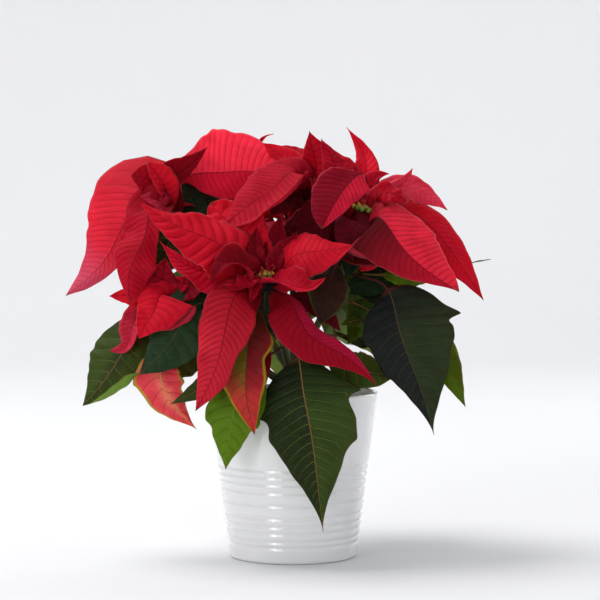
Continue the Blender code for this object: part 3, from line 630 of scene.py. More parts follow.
frontHead = [
    bract("front_bract_left", 7, [(-56, -60, 263), (-88, -66, 280), (-129, -60, 304)], 27, (0, -0.8, 0.6),
          tone=0.88, shape=(0.38, 1.7), endFace=(0, -0.9, 0.4), fold=-8, curl=(6, -18), ruffle=(3.6, 3.0),
          pleat=3.6, gap=10),
    bract("front_bract_upper_left", 10, [(-42, -36, 268), (-56, -28, 287), (-70, -20, 301)], (22, 26),
          (0, -0.9, 0.4), stalk=8, shape=(0.55, 0.8), fold=8, ruffle=(3.2, 3.0), pleat=3.0, gap=9),
    bract("front_bract_upright", 4, [(-13, -32, 262), (-12, -28, 277), (-11, -24, 291)], 12,
          (-0.2, -0.9, 0.2), look="deep", stalk=4, fold=34, pleat=0.6),
    bract("front_bract_right", 6, [(0, -58, 257), (22, -62, 262), (51, -56, 267)], (26, 25),
          (-0.1, -0.8, 0.6), tone=0.88, stalk=4, shape=(0.38, 1.2), fold=-5, curl=(-15, -10),
          ruffle=(1.2, 2), pleat=0.5),
    bract("front_bract_trough", 3, [(-3, -72, 236), (13, -78, 232), (27, -74, 241)], (15, 19),
          (0, -0.6, 0.8), look="crimson", tone=1.1, stalk=2, fold=26, curl=(30, 15), ruffle=(2.2, 2)),
    bract("front_bract_hanging", 9, [(-44, -74, 229), (-55, -91, 198), (-63, -98, 166), (-79, -97, 133)],
          24, (-0.1, -0.95, 0.4), look="hanging", tone=0.72, endFace=(0.1, -1, 0), fold=-6, curl=(-14, -22),
          lobes=([(0.12, 0.6, 0.1), (0.34, -0.06, 0.06), (0.64, -0.3, 0.12)], [(0.62, -0.05, 0.1)]),
          ruffle=(3.2, 2.6), pleat=1.3),
    bract("front_bract_hanging_right", 12, [(-3, -62, 222), (12, -76, 196), (41, -80, 178), (70, -68, 151)],
          (14, 24), (0.3, -0.9, 0.3), look="shadedHalfRed", tone=1.1, shape=((0.44, 1.1), (0.3, 1.5)),
          endFace=(0.5, -0.9, 0.3), fold=-18, curl=(-10, 6), pleat=0.7),
    bract("front_bract_cup", 4, [(-44, -64, 253), (-58, -72, 251), (-67, -72, 239)], 15, (0.2, -0.6, 0.75),
          look="deep", stalk=3, fold=14, curl=(35, 40), ruffle=(2.6, 3), pleat=0.8),
    bract("front_bract_lower_left", 14, [(-62, -50, 240), (-87, -56, 250), (-112, -50, 272)], (20, 15),
          (-0.2, -0.8, 0.6), look="crimson", tone=1.4, shape=(0.36, 1.9), fold=20, curl=-40,
          ruffle=(3.8, 3.4), pleat=2.0),
]
leftHead = [
    bract("left_bract_arching", 4,
          [(-127, -5, 313), (-137, -10, 299), (-148, -15, 272), (-161, -17, 250), (-192, -16, 223)],
          (14, 42), (-0.05, -0.9, 0.5), look="arching", stalk=10, shape=((0.5, 1.1), (0.22, 0.95)),
          endFace=(-0.2, -0.95, 0.3), fold=-6, curl=(-15, -18), lobes=([], [(0.02, -0.45, 0.1)]),
          ruffle=(1.2, 1.5), pleat=0.7),
    bract("left_bract_hanging", 5,
          [(-120, -22, 297), (-122, -32, 280), (-131, -42, 257), (-136, -48, 242), (-135, -52, 218)],
          (18, 25), (-0.3, -0.95, 0), look="crimson", stalk=5, shape=((0.7, 0.9), (0.38, 1.3)),
          endFace=(-0.2, -0.95, 0.1), fold=-12, curl=-10,
          lobes=([(0.5, -0.14, 0.06), (0.68, 0.16, 0.08)], [(0.5, -0.12, 0.06), (0.66, 0.14, 0.08)]),
          ruffle=(2.6, 3.0), pleat=0.8),
    bract("left_bract_upright", 2, [(-107, -10, 311), (-112, -16, 322), (-122, -18, 335)], (11, 13),
          (0.2, -0.9, 0.3), tone=0.9, stalk=3, shape=(0.6, 0.7), fold=28, curl=10),
    bract("left_bract_great", 14, [(-96, 18, 319), (-66, 26, 327), (-36, 32, 328), (-6, 36, 323)], (47, 25),
          (0, -0.95, 0.4), look="halfShaded", tone=1.35, stalk=31, shape=((0.49, 0.8), (0.55, 0.8)),
          endFace=(0, -0.9, 0.4), fold=-10, curl=(-10, -12),
          lobes=([(0.14, -0.26, 0.12), (0.42, 0.09, 0.06)], []), ruffle=(0.8, 1.5), pleat=0.6, gap=5),
]
lowHead = [
    bract("low_bract_heart", 4, [(-108, -44, 226), (-114, -56, 214), (-120, -64, 203), (-127, -68, 190)],
          (36, 16), (-0.1, -0.8, 0.6), tone=0.94, stalk=3, shape=((0.2, 1.0), (0.46, 1.0)),
          endFace=(0, -0.95, 0.3), fold=14, curl=(-25, -20), ruffle=(1.6, 2.4), pleat=0.9),
    bract("low_bract_curled", 11, [(-125, -16, 210), (-135, -29, 195), (-140, -38, 181), (-154, -38, 178)],
          12, (-0.3, -0.9, 0.2), look="pink", tone=0.85, stalk=5, fold=26, ruffle=(1.8, 3), pleat=0.8),
    bract("low_bract_upright", 6, [(-115, -18, 232), (-118, -12, 242), (-120, -8, 254)], 12, (0, -1, 0.1),
          look="deep", stalk=4, ruffle=(1.5, 2)),
]
topHead = [
    bract("top_bract_folded", 12, [(2, 10, 327), (-15, -15, 315), (-36, -31, 300), (-58, -38, 281)],
          (28, 26), (-0.1, -0.8, 0.6), look="crimson", tone=1.05, stalk=10,
          shape=((0.56, 0.9), (0.46, 1.1)), endFace=(0, -0.8, 0.6), curl=(32, -15),
          rolls=[(-1, 0.45, 0.35, 60)], ruffle=(1.4, 2), pleat=0.8),
    bract("top_bract_back", 8, [(8, 48, 338), (-3, 52, 346), (-15, 52, 350)], 13, (0, -0.7, 0.7),
          look="crimson", stalk=5, ruffle=(1, 3), pleat=0.5),
    bract("top_bract_upright", 1, [(20, 26, 330), (17, 24, 346), (14, 24, 363)], (16, 24),
          (-0.2, -0.9, 0.2), look="crimson", tone=1.05, stalk=3, shape=((0.3, 1.3), (0.36, 1.3)), fold=8,
          curl=10, pleat=0.6),
]
rightHead = [
    bract("right_bract_folded", 5,
          [(62, -14, 312), (59, -24, 326), (47, -34, 318), (35, -41, 301), (24, -46, 280)], (17, 25),
          (0.1, -0.9, 0.5), look="shadedHalfMaroon", tone=1.15, stalk=28, shape=((0.34, 0.9), (0.54, 0.7)),
          endFace=(0.1, -0.9, 0.4), fold=-4, curl=-8, lobes=([], [(0.0, -0.95, 0.2), (0.26, -0.88, 0.15)]),
          ruffle=(1.2, 2), pleat=0.9, gap=4.5),
    bract("right_bract_upper_left", 9, [(40, 1, 320), (34, 8, 338), (24, 12, 356)], (15, 24),
          (0.1, -0.8, 0.5), look="crimson", stalk=5, shape=((0.44, 1.1), (0.3, 1.5)), fold=4, curl=(0, 15),
          ruffle=(2.5, 3), pleat=0.8),
    bract("right_bract_upright", 5, [(61, 6, 322), (61, 18, 342), (46, 24, 366)], (12, 13),
          (0.1, -0.9, 0.2), stalk=5, shape=(0.36, 1.4), fold=14, ruffle=(1.8, 2), pleat=0.9),
    bract("right_bract_great", 12, [(70, -32, 290), (85, -46, 273), (107, -54, 249), (138, -52, 228)],
          (37, 41), (0.05, -0.75, 0.65), look="shadedHalfDark", tone=1.1, stalk=2,
          shape=((0.5, 0.8), (0.16, 1.4)), endFace=(0.1, -0.9, 0.4), fold=-12, curl=-10, ruffle=(1.2, 2),
          pleat=0.7),
    bract("right_bract_outer", 15, [(96, 10, 292), (131, 12, 266), (163, 6, 218)], 19, (0.3, -0.8, 0.4),
          stalk=12, fold=-10, ruffle=(1, 2)),
    bract("right_bract_upper_right", 4, [(82, 4, 308), (102, 14, 314), (121, 14, 304), (132, 10, 295)], 17,
          (0.2, -0.6, 0.75), look="pink", stalk=16, fold=-5, curl=(10, -10), ruffle=(1.5, 2)),
    bract("right_bract_behind", 24, [(64, 22, 273), (60, 34, 258), (50, 38, 246)], 13, (0, -1, 0.1),
          stalk=5),
    bract("right_bract_inner_left", 18, [(35, -12, 285), (18, -14, 284), (-4, -12, 278)], 22,
          (0, -0.9, 0.4), look="maroon", stalk=5, fold=5, pleat=0.6),
]
backHead = [
    bract("back_bract_left", 6, [(-40, 98, 300), (-75, 104, 290), (-105, 96, 268)], 26, (0, 0.7, 0.7),
          **backBract),
    bract("back_bract_right", 3, [(40, 102, 300), (75, 108, 288), (104, 96, 262)], 26, (0, 0.7, 0.7),
          **backBract),
    bract("back_bract_hanging", 9, [(-4, 118, 278), (-12, 136, 245), (-18, 140, 200)], 25, (0, 0.9, 0.4),
          **backBract),
    bract("back_bract_lower_right", 13, [(34, 112, 268), (54, 126, 240), (66, 128, 205)], 22,
          (0.3, 0.9, 0.3), look="crimson", **backBract),
]
turningLeaves = [
    leaf("turning_leaf_front", "front", 24,
         [(-32, -58, 206), (-37, -76, 180), (-38, -86, 148), (-31, -88, 113)], (19, 20), (-0.1, -1, 0.1),
         look="turning", stalk=12, shape="bract", fold=-4, curl=-5,
         lobes=([(0.3, 0.2, 0.08), (0.46, -0.25, 0.07)], [(0.62, 0.2, 0.1)]), ruffle=(1.4, 2)),
    leaf("turning_leaf_low", "low", 26,
         [(-101, -45, 182), (-110, -56, 161), (-103, -60, 141), (-80, -55, 114)], (17, 21),
         (-0.2, -0.9, 0.3), look="coral", tone=1.02, stalk=36, shape=(0.34, 1.5), fold=-8,
         teeth=([(0.5, 0.14, 0.1)], [(0.34, 0.18, 0.16)]), ruffle=(1.2, 2), pleat=0.9),
]
greenLeaves = [
    leaf("leaf_over_pot", "front", 44,
         [(3, -58, 179), (8, -73, 152), (14, -83, 120), (20, -88, 76), (25, -88, 33)], (39, 38),
         (-0.05, -1, 0.15), look="shadedHalfGreen", stalk=46, shape="leaf", endFace=(0, -1, 0), fold=-5, curl=-5,
         teeth=([(0.26, 0.28, 0.09), (0.52, 0.12, 0.11)], [(0.3, 0.2, 0.1)]), ruffle=(1.2, 1.5), pleat=1.1,
         gap=8),
    leaf("leaf_right_dark", "right", 50, [(76, -24, 233), (88, -38, 200), (103, -46, 157), (118, -46, 108)],
         (46, 29), (-0.1, -1, 0.1), look="slate", stalk=44, shape=(0.31, 1.7), endFace=(0, -1, 0), fold=6,
         curl=-6, teeth=([(0.3, 0.18, 0.06)], [(0.32, 0.14, 0.09), (0.55, 0.06, 0.08)]), ruffle=(1.2, 2),
         pleat=1.0, gap=8.5),
    leaf("leaf_left", "low", 16, [(-124, -26, 195), (-141, -34, 179), (-157, -40, 154), (-176, -40, 132)],
         (36, 30), (-0.2, -0.9, 0.4), stalk=24, fold=-8, curl=(-6, -10), rolls=[(-1, 0.7, 0.26, 165)],
         pleat=0.7),
    leaf("leaf_low_behind", "low", 50, [(-87, 0, 190), (-104, -2, 176), (-126, -2, 158)], 29,
         (-0.1, -0.95, 0.3), tone=0.8, stalk=26, fold=-6, curl=(-8, -15), pleat=0.5),
    leaf("leaf_front_lime", "front", 56, [(-42, -66, 152), (-50, -77, 124), (-55, -79, 83)], (24, 26),
         (-0.3, -1, 0.1), look="lime", tone=1.2, stalk=40, shape=(0.4, 1.3), fold=-4, curl=-5,
         teeth=([(0.62, 0.16, 0.12)], [(0.34, 0.3, 0.1), (0.62, 0.1, 0.1)]), ruffle=(1.4, 2), pleat=1.0),
    leaf("leaf_centre_dark", "right", 34, [(32, -42, 240), (28, -50, 221), (23, -48, 201)], 18,
         (-0.1, -1, 0), look="umber", stalk=30, shape="bract", fold=-8, ruffle=(1.5, 2)),
    leaf("leaf_right_inner", "right", 38, [(62, -6, 238), (80, -10, 233), (104, -12, 238)], 19,
         (0, -0.8, 0.5), look="dark", stalk=14),
    leaf("leaf_right_hanging", "right", 62, [(60, 22, 217), (57, 26, 199), (47, 22, 179)], 14, look="lime",
         tone=0.8, stalk=20),
    leaf("leaf_over_rim", "right", 92, [(43, -30, 168), (62, -36, 160), (85, -36, 158)], 16, (0, -0.9, 0.4),
         tone=1.35, stalk=30, shape=(0.5, 0.8), pleat=0.7),
    leaf("leaf_right_lime", "right", 58,
         [(76, 12, 224), (108, 6, 202), (125, -8, 178), (135, -20, 154), (146, -20, 129)], 13,
         (0.1, -0.9, 0.3), look="lime", stalk=80),
    leaf("leaf_right_level", "right", 28, [(101, 28, 244), (128, 38, 245), (172, 42, 252)], 12, (0, 0, 1),
         stalk=40),
    leaf("leaf_left_olive", "left", 34, [(-102, -6, 272), (-108, -8, 258), (-112, -8, 240)], (22, 18),
         (0, -1, 0.1), tone=0.8, stalk=8),
    leaf("leaf_top_dark", "left", 52, [(-56, 40, 294), (-72, 44, 304), (-94, 46, 312)], 20, look="dark",
         stalk=30),
    leaf("leaf_back_left", "back", 52, [(-50, 84, 204), (-85, 112, 184), (-105, 122, 146)], 30,
         (-0.3, 0.7, 0.6), **backLeaf),
    leaf("leaf_back_right", "back", 60, [(50, 86, 196), (80, 114, 174), (96, 124, 134)], 30,
         (0.3, 0.7, 0.6), **backLeaf),
    leaf("leaf_back", "back", 72, [(0, 84, 190), (4, 112, 158), (8, 124, 108)], 32, (0, 0.9, 0.4),
         **backLeaf),
    leaf("leaf_side_right", "right", 108, [(60, 50, 184), (100, 60, 172), (120, 62, 142)], 26,
         (0.6, 0.3, 0.6), **backLeaf),
]
# Smaller bracts and leaves that fill the crown between the ones above.
extraBracts = [
    # Painted shade: this darker bract sits in front of the base of left_bract_arching and stands for that
    # bract's own shaded, rolled base.
    bract("left_bract_shaded", 3, [(-113, -8, 312), (-123, -16, 322), (-136, -20, 324)], 17,
          (-0.1, -0.95, 0.1), look="crimson", tone=0.8, stalk=2, shape=(0.5, 0.8), pleat=0.6),
    bract("left_bract_small", 3, [(-110, -12, 301), (-118, -16, 305), (-129, -18, 307)], 9, look="pink",
          tone=0.8, stalk=2, fold=20),
    bract("left_bract_rolled", 9, [(-106, 8, 317), (-93, 10, 330), (-73, 12, 349)], (17, 9),
          (0.1, -0.9, -0.3), look="deep", stalk=2, shape=(0.35, 1.2), fold=12, pleat=0.4),
    bract("low_bract_side", 8, [(-116, -20, 222), (-132, -22, 224), (-155, -22, 223)], 14, (0, -0.9, 0.4),
          stalk=3, shape="broad", fold=8, ruffle=(1.6, 3)),
    bract("centre_bract_dark", 26, [(40, 2, 288), (16, 6, 284), (-14, 6, 276)], 21, look="maroon",
          branch="right", stalk=5, pleat=0.6),
    bract("front_bract_inner_right", 5, [(-14, -46, 254), (-4, -44, 266), (4, -40, 278)], 9,
          (-0.3, -0.9, 0.1), look="deep", stalk=3, fold=30, pleat=0.6),
    bract("front_bract_inner_left", 5, [(-30, -44, 256), (-32, -40, 268), (-30, -36, 282)], 9,
          (0.2, -0.9, 0.1), look="deep", stalk=3, fold=30, pleat=0.6),
    bract("front_bract_inner_low", 3, [(-30, -56, 236), (-33, -64, 226), (-37, -66, 219)], 6,
          look="crimson", stalk=2, fold=25),
    bract("right_bract_ruffled", 5, [(74, -14, 308), (84, -20, 309), (96, -20, 302)], 11, (0, -0.9, 0.4),
          look="crimson", stalk=12, ruffle=(4, 4), pleat=0.8),
    bract("right_bract_small", 3, [(64, -2, 318), (72, 0, 325), (82, 0, 326)], 9, look="crimson", tone=1.2,
          stalk=3),
    bract("right_bract_striped", 8, [(40, -16, 300), (26, -18, 312), (14, -18, 322)], 15, (0.1, -0.9, 0.3),
          look="deep", stalk=3, fold=18, pleat=0.8),
    bract("right_bract_point", 7, [(80, 2, 306), (94, 6, 318), (102, 8, 331)], 9, (0.1, -0.9, 0.3),
          look="pink", stalk=6, fold=14),
    bract("top_bract_wide", 9, [(0, 42, 330), (-12, 46, 343), (-26, 48, 353)], 14, stalk=4),
    bract("front_bract_torn", 20, [(20, -40, 216), (32, -40, 205), (40, -38, 194)], 9, look="maroon",
          stalk=14),
    bract("front_bract_crumpled", 34, [(-26, -54, 186), (-24, -60, 172), (-22, -62, 152)], (8, 7),
          look="deep", stalk=12, fold=20, ruffle=(3, 3), pleat=0.8),
    bract("low_bract_right", 2, [(-100, -36, 226), (-92, -40, 234), (-82, -40, 240)], 9, look="crimson",
          stalk=2, fold=20, ruffle=(1.5, 3)),
    bract("low_bract_top", 3, [(-107, -36, 232), (-108, -40, 243), (-106, -40, 256)], 14, (0, -0.9, 0.1),
          look="deep", tone=1.2, stalk=2, fold=20, ruffle=(3.2, 3.5), pleat=0.9),
    bract("low_bract_left", 2, [(-112, -34, 228), (-120, -40, 236), (-126, -40, 246)], 9, (0, -0.9, 0.1),
          look="crimson", stalk=2, fold=20, ruffle=(1.5, 3)),
    bract("low_bract_level", 4, [(-96, -38, 224), (-84, -44, 230), (-70, -44, 232)], 13, (0, -0.9, 0.5),
          look="deep", stalk=2, fold=10, ruffle=(3.0, 3.5), pleat=0.8),
    bract("top_bract_under", 16, [(6, 16, 308), (-8, 10, 302), (-20, 4, 290)], 13, look="maroon", stalk=6,
          fold=8, ruffle=(1.5, 2)),
    bract("left_bract_flick", 12, [(-8, 62, 335), (-30, 64, 351), (-26, 62, 357.5), (-17, 58, 361)], 3,
          branch="top", stalk=40),
    bract("right_bract_crest", 6, [(48, 4, 314), (42, 6, 326), (36, 8, 342)], (12, 14), (0.1, -0.9, 0.3),
          look="crimson", stalk=3, shape=(0.5, 0.8), ruffle=(2.4, 3), pleat=0.5),
    bract("front_bract_rim", 5, [(-34, -62, 238), (-44, -72, 232), (-56, -76, 236)], 9, (0, -0.7, 0.8),
          look="crimson", stalk=2, fold=22, ruffle=(2.2, 3)),
    bract("right_bract_under", 10, [(54, -26, 286), (48, -36, 272), (50, -38, 254)], 16, (0, -0.9, 0.4),
          look="maroon", tone=1.3, stalk=2, pleat=0.6),
    bract("right_bract_red", 20, [(60, -16, 268), (65, -22, 257), (56, -24, 244)], 12, stalk=3, pleat=0.6),
]
extraLeaves = [
    leaf("leaf_low_shade", "front", 36, [(-66, -24, 234), (-82, -26, 216), (-96, -26, 196)], 17,
         (0, -1, 0.1), look="dark", stalk=30),
    leaf("leaf_low_tip", "front", 68, [(-60, -62, 158), (-78, -68, 148), (-101, -68, 136)], 12,
         (0, -0.9, 0.5), tone=0.8, stalk=34),
    leaf("leaf_middle_shade", "top", 60, [(24, 12, 282), (18, 8, 262), (8, 4, 226)], 30, (0, -1, 0.1),
         look="dark", stalk=20),
    leaf("leaf_front_shade", "front", 30, [(-22, -46, 228), (-24, -47, 206), (-27, -46, 175)], 17,
         (0, -1, 0), look="slate", stalk=12),
    leaf("leaf_right_black", "right", 40, [(76, -12, 241), (58, -16, 233), (38, -18, 226)], (15, 13),
         (0, -0.9, 0.4), look="dark", stalk=12),
    leaf("leaf_right_pale", "right", 56, [(70, 2, 232), (70, 2, 222), (66, 2, 208)], 9, (0.2, -0.9, 0.1),
         look="lime", stalk=10),
    leaf("leaf_right_yellow", "right", 48, [(88, -20, 240), (101, -19, 237), (117, -16, 235)], 10,
         (0, -0.7, 0.7), look="lime", tone=1.25, stalk=34),
    leaf("leaf_right_grey", "right", 72, [(70, -4, 204), (56, -8, 202), (40, -12, 198)], 12, (0, -0.8, 0.6),
         tone=1.7, stalk=16),
    leaf("leaf_low_front", "low", 44, [(-76, -44, 218), (-98, -60, 192), (-127, -66, 160)], (29, 24),
         (-0.1, -0.9, 0.2), look="dark", tone=1.8, stalk=24, curl=-8, ruffle=(1.5, 2), pleat=0.8),
    leaf("leaf_left_shade", "left", 40, [(-66, 36, 300), (-86, 40, 304), (-112, 40, 304)], 20,
         (0, -0.9, 0.2), look="dark", stalk=30),
    leaf("leaf_centre_shade", "right", 44, [(50, -14, 268), (49, -16, 252), (44, -16, 238)], 11,
         (0, -1, 0.1), look="dark", stalk=12),
    leaf("leaf_left_gap", "left", 34, [(-88, 28, 304), (-94, 32, 316), (-100, 34, 330)], 13, (0, -0.9, 0.2),
         look="dark", stalk=10),
]


def pieceName(node):
    words = node.split("_")
    return words[0] + "".join(word.capitalize() for word in words[1:])


# Bracts and leaves at the back and sides of each branch. In order: kind, branch, where they leave it,
# bearings in degrees from +X, reach, width, how high they rise and how low their tips come.
whorls = [
    ("bract", "front", 7, (35, 90, 150), 44, 14, 12, 2),
    ("bract", "left", 7, (70, 115, 160), 58, 18, 8, 24),
    ("bract", "low", 7, (70, 130), 38, 12, 6, 10),
    ("bract", "top", 8, (15, 60, 105), 60, 19, 9, 20),
    ("bract", "right", 8, (40, 85, 130), 56, 18, 6, 26),
    ("bract", "back", 7, (5, 175, 235, 305), 52, 17, 8, 18),
    ("leaf", "left", 30, (85, 150), 60, 20, 2, 42),
    ("leaf", "left", 70, (70, 115), 70, 23, 2, 44),
    ("leaf", "left", 100, (105, 155), 60, 22, 2, 24),
    ("leaf", "low", 30, (100,), 56, 20, 2, 36),
    ("leaf", "top", 42, (35, 125, 200), 66, 22, 2, 32),
    ("leaf", "top", 80, (60, 150), 80, 25, 0, 40),
    ("leaf", "right", 34, (35, 90), 60, 21, 0, 34),
    ("leaf", "right", 74, (60, 115), 70, 23, 0, 36),
    ("leaf", "back", 24, (-5, 40, 140, 185), 60, 21, 0, 34),
]


def whorlRow(kind, branch, drop, bearing, reach, width, rise, fall):
    # runs out level, rises, then bends down to its tip
    line, length = branchLines[branch]
    start = line[int((1 - drop * mm / length) * (lineSamples - 1))] / mm
    out = np.array((math.cos(math.radians(bearing)), math.sin(math.radians(bearing)), 0))
    heights = (0.6 * rise + 4, rise - 0.2 * fall, -fall)
    points = [tuple(start + reach * share * out + (0, 0, height))
              for share, height in zip((0.34, 0.68, 1.0), heights)]
    outline = dict(shape="leaf", stalk=0.36 * reach, look="green") if kind == "leaf" else dict(look="crimson")
    return dict(node=f"{branch}_{kind}_{drop}_{bearing % 360}", branch=branch,
                drop=drop, route=points, width=width, face=(*(0.4 * out[:2]), 0.85), fold=-6,
                curl=-10, ruffle=(1.5, 2), pleat=0.6, grid=1.4, **outline)


whorlRows = [whorlRow(kind, branch, drop, bearing, *rest)
             for kind, branch, drop, bearings, *rest in whorls for bearing in bearings]

slotOf = {"turning": "turning_leaf"}
for head in (frontHead, leftHead, lowHead, topHead, rightHead, backHead, turningLeaves, greenLeaves,
             extraBracts, extraLeaves, whorlRows):
    for row in head:
        heap = Heap()
        addLeaf(heap, row)
        stands = [row["node"]] if row["node"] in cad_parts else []
        isGreen = row["look"] in greenLooks
        slot = "green_leaf" if isGreen else slotOf.get(row["node"].split("_")[0], "red_bract")
        heap.build(pieceName(row["node"]), slot, *stands)
print("leaves and bracts done")

# Small bracts at the middle of each head.
innerBracts = {
    "front": dict(count=9, size=(13, 24), width=6, away=(0.25, -0.9, -0.3), look="crimson"),
    "left": dict(count=8, size=(14, 30), width=7, away=None, look="bright"),
    "low": dict(count=10, size=(14, 26), width=7, away=(0, -1, 0), look="bright"),
    "top": dict(count=8, size=(14, 30), width=7, away=None, look="bright"),
    "right": dict(count=9, size=(14, 28), width=7, away=(0, -1, 0.1), look="crimson"),
    "back": dict(count=9, size=(14, 34), width=8, away=None, look="bright"),
}


def innerRow(branch, index, settings, rng):
    # turns by the golden angle; later ones are longer and lie flatter
    line, _ = branchLines[branch]
    tip, axis = line[-1] / mm, unit(line[-1] - line[-4])
    across = unit(np.cross(axis, (0, 1, 0.01)))
    spin = index * goldenAngle + rng.uniform(-0.3, 0.3)
    out = turned(across, np.cross(axis, across), spin)
    share = index / (settings["count"] - 1)
    size = settings["size"][0] + (settings["size"][1] - settings["size"][0]) * share
    if settings["away"] is not None and out @ unit(np.array(settings["away"], float)) > 0.3:
        size *= 0.42
    lean = 0.9 - 0.75 * share
    droop = rng.uniform(-0.15, 0.25)
    points = [tip + size * (0.30 * out + 0.30 * lean * axis),
              tip + size * (0.65 * out + (0.62 * lean + 0.1) * axis),
              tip + size * (0.95 * out + (0.7 * lean - droop) * axis)]
    width = settings["width"] * (0.6 + 0.5 * share)
    face = tuple(axis * 0.8 - out * lean)
    return dict(node=f"inner_{branch}_{index}", branch=branch, drop=1.5 + 4 * share, width=width, face=face,
                route=[tuple(point) for point in points], fold=rng.uniform(5, 30), stalk=2, frill=0.4,
                twist=rng.uniform(-35, 35), curl=(rng.uniform(-30, 25), rng.uniform(-30, 25)),
                ruffle=(0.8, 2), look="deep" if index % 3 == 0 else settings["look"], pleat=0.3)


for branch, settings in innerBracts.items():
    rng = np.random.default_rng(len(branch) + 10 * settings["count"])
    heap = Heap()
    for index in range(settings["count"]):
        addLeaf(heap, innerRow(branch, index, settings, rng))
    heap.build(f"{branch}InnerBracts", "red_bract")
print("inner bracts done")

# The small flowers of each cluster, in metres.
floret = {"height": 0.0055, "radius": 0.0019, "gland": 0.0016, "filament": 0.0065, "count": 11,
          "spread": 0.0066, "forward": {"right": (0.0, -0.004, 0.003)},
          "filamentRadii": [0.00018, 0.00015, 0.00015, 0.00028],
          "sizes": (0.85, 1.2), "sunk": 0.0006, "lean": 0.6, "ribs": 5, "ribDepth": 0.08, "seed": 7,
          "glandOut": 1.15, "glandUp": 0.78, "glandFlat": 0.55, "filaments": 3, "filamentLean": 0.35,
          "filamentFoot": 0.9}


def turnedGrid(profile, steps):
    # radius and height turned round the Z axis
    angle = np.linspace(0, 2 * math.pi, steps, endpoint=False)
    radius, height = np.array(profile, float).T
    return np.stack([np.outer(radius, np.cos(angle)), np.outer(radius, np.sin(angle)),
                     np.outer(height, np.ones(steps))], axis=-1)


def ringFaces(rings, steps, flip=False):
    # a turned grid's faces, joined round, with a fan at each end
    index = np.arange(rings * steps).reshape(rings, steps)
    faces = quads(np.hstack([index, index[:, :1]]), flip)
    ends = [index[0].tolist(), index[-1][::-1].tolist()]
    if not flip:
        ends = [face[::-1] for face in ends]
    return faces + ends


def beadGrid(size, flat, cut, rings, steps):
    # a flattened ball, cut off by a small angle at each pole
    angle = np.linspace(cut, math.pi - cut, rings)
    return turnedGrid(np.stack([np.sin(angle) * size, -np.cos(angle) * size * flat], axis=1), steps)


def turnedPiece(name, slot, node, profile, steps, material):
    heap = Heap()
    heap.add(turnedGrid(profile, steps), ringFaces(len(profile), steps), material)
    heap.build(name, slot, node)


def frameFor(axis):
    axis = unit(np.array(axis, float))
    first = unit(np.cross(axis, (0.13, 1, 0.07)))
    return np.stack([first, np.cross(axis, first), axis])


def tubeGrid(line, radii, steps):
    # rings square to the line, with a frame that turns as little as it can
    tangent = unit(np.gradient(line, axis=0))
    across = np.cross(tangent, (0.31, 0.17, 0.05))
    across = unit(across - (across * tangent).sum(1)[:, None] * tangent)
    other = np.cross(tangent, across)
    angle = np.linspace(0, 2 * math.pi, steps, endpoint=False)
    ring = across[:, None] * np.cos(angle)[None, :, None] + other[:, None] * np.sin(angle)[None, :, None]
    return line[:, None] + ring * np.broadcast_to(np.asarray(radii)[:, None, None], (len(line), steps, 1))


def flowerFinish():
    finish = Finish("flowerCup", Roughness=0.4, Subsurface_Weight=0.15, Subsurface_Scale=0.002)
    zone, height = finish.attribute("floretPlace", 2)
    speck = finish.noise(900, 2)
    cup = finish.mix((0.10, 0.20, 0.02), (0.26, 0.34, 0.04), finish.ease(height, 0.1, 0.9))
    cup = finish.mix(cup, (0.30, 0.02, 0.02), finish.ease(height + speck * 0.3, 0.95, 1.2))
    colour = finish.mix(cup, (0.62, 0.42, 0.03), finish.ease(zone, 0.4, 0.6))
    colour = finish.mix(colour, (0.50, 0.03, 0.03), finish.ease(zone, 1.4, 1.6))
    return finish.close(colour, 0.32 + speck * 0.2, speck, 0.0002, 0.5)


flowerMaterial = flowerFinish()


def addFloret(heap, centre, axis, size, rng):
    # a ribbed cup with a rolled mouth, one yellow gland on its side, and a few red filaments
    steps = 15
    shares = np.linspace(0, 1, 12)
    radius = floret["radius"] * (0.35 + 0.75 * np.sin(math.pi * (0.08 + 0.80 * shares)))
    grid = turnedGrid(np.stack([radius, shares * floret["height"]], axis=1), steps)
    angle = np.linspace(0, 2 * math.pi, steps, endpoint=False)
    grid[..., :2] *= (1 + floret["ribDepth"] * np.cos(floret["ribs"] * angle))[None, :, None]
    turn = frameFor(axis)
    heap.add((grid * size) @ turn + centre, ringFaces(12, steps), flowerMaterial,
             floretPlace=(0.0, np.repeat(shares, steps), 0.0))
    spin = rng.uniform(0, fullTurn)
    aside = turned(turn[0], turn[1], spin)
    gland = floret["gland"] * size
    lip = beadGrid(gland, floret["glandFlat"], 0.02, 9, 12)
    at = centre + aside * floret["radius"] * size * floret["glandOut"]
    at = at + turn[2] * floret["height"] * size * floret["glandUp"]
    heap.add(lip @ frameFor(aside + turn[2]) + at, ringFaces(9, 12), flowerMaterial,
             floretPlace=(1.0, 0.5, 0.0))
    for filament in range(floret["filaments"]):
        spin = rng.uniform(0, fullTurn)
        lean = turn[2] + floret["filamentLean"] * turned(turn[0], turn[1], spin)
        start = centre + turn[2] * floret["height"] * size * floret["filamentFoot"]
        line = start + np.outer(np.linspace(0, floret["filament"] * size, 4), unit(lean))
        heap.add(tubeGrid(line, floret["filamentRadii"], 6), ringFaces(4, 6), flowerMaterial,
                 floretPlace=(2.0, 1.0, 0.0))


for branch in stem["branches"]:
    rng = np.random.default_rng(floret["seed"] + len(branch))
    line, _ = branchLines[branch]
    axis = unit(line[-1] - line[-4])
    tip = line[-1] + np.array(floret["forward"].get(branch, (0, 0, 0)), float)
    heap = Heap()
    for index in range(floret["count"]):
        spin = index * goldenAngle
        apart = floret["spread"] * math.sqrt(index / floret["count"])
        turn = frameFor(axis)
        aside = turned(turn[0], turn[1], spin)
        lean = axis + aside * apart / floret["spread"] * floret["lean"]
        foot = tip + aside * apart - axis * floret["sunk"]
        addFloret(heap, foot, lean, rng.uniform(*floret["sizes"]), rng)
    heap.build(f"{branch}Flowers", "flower_green", f"flowers_{branch}")
print("flowers done")


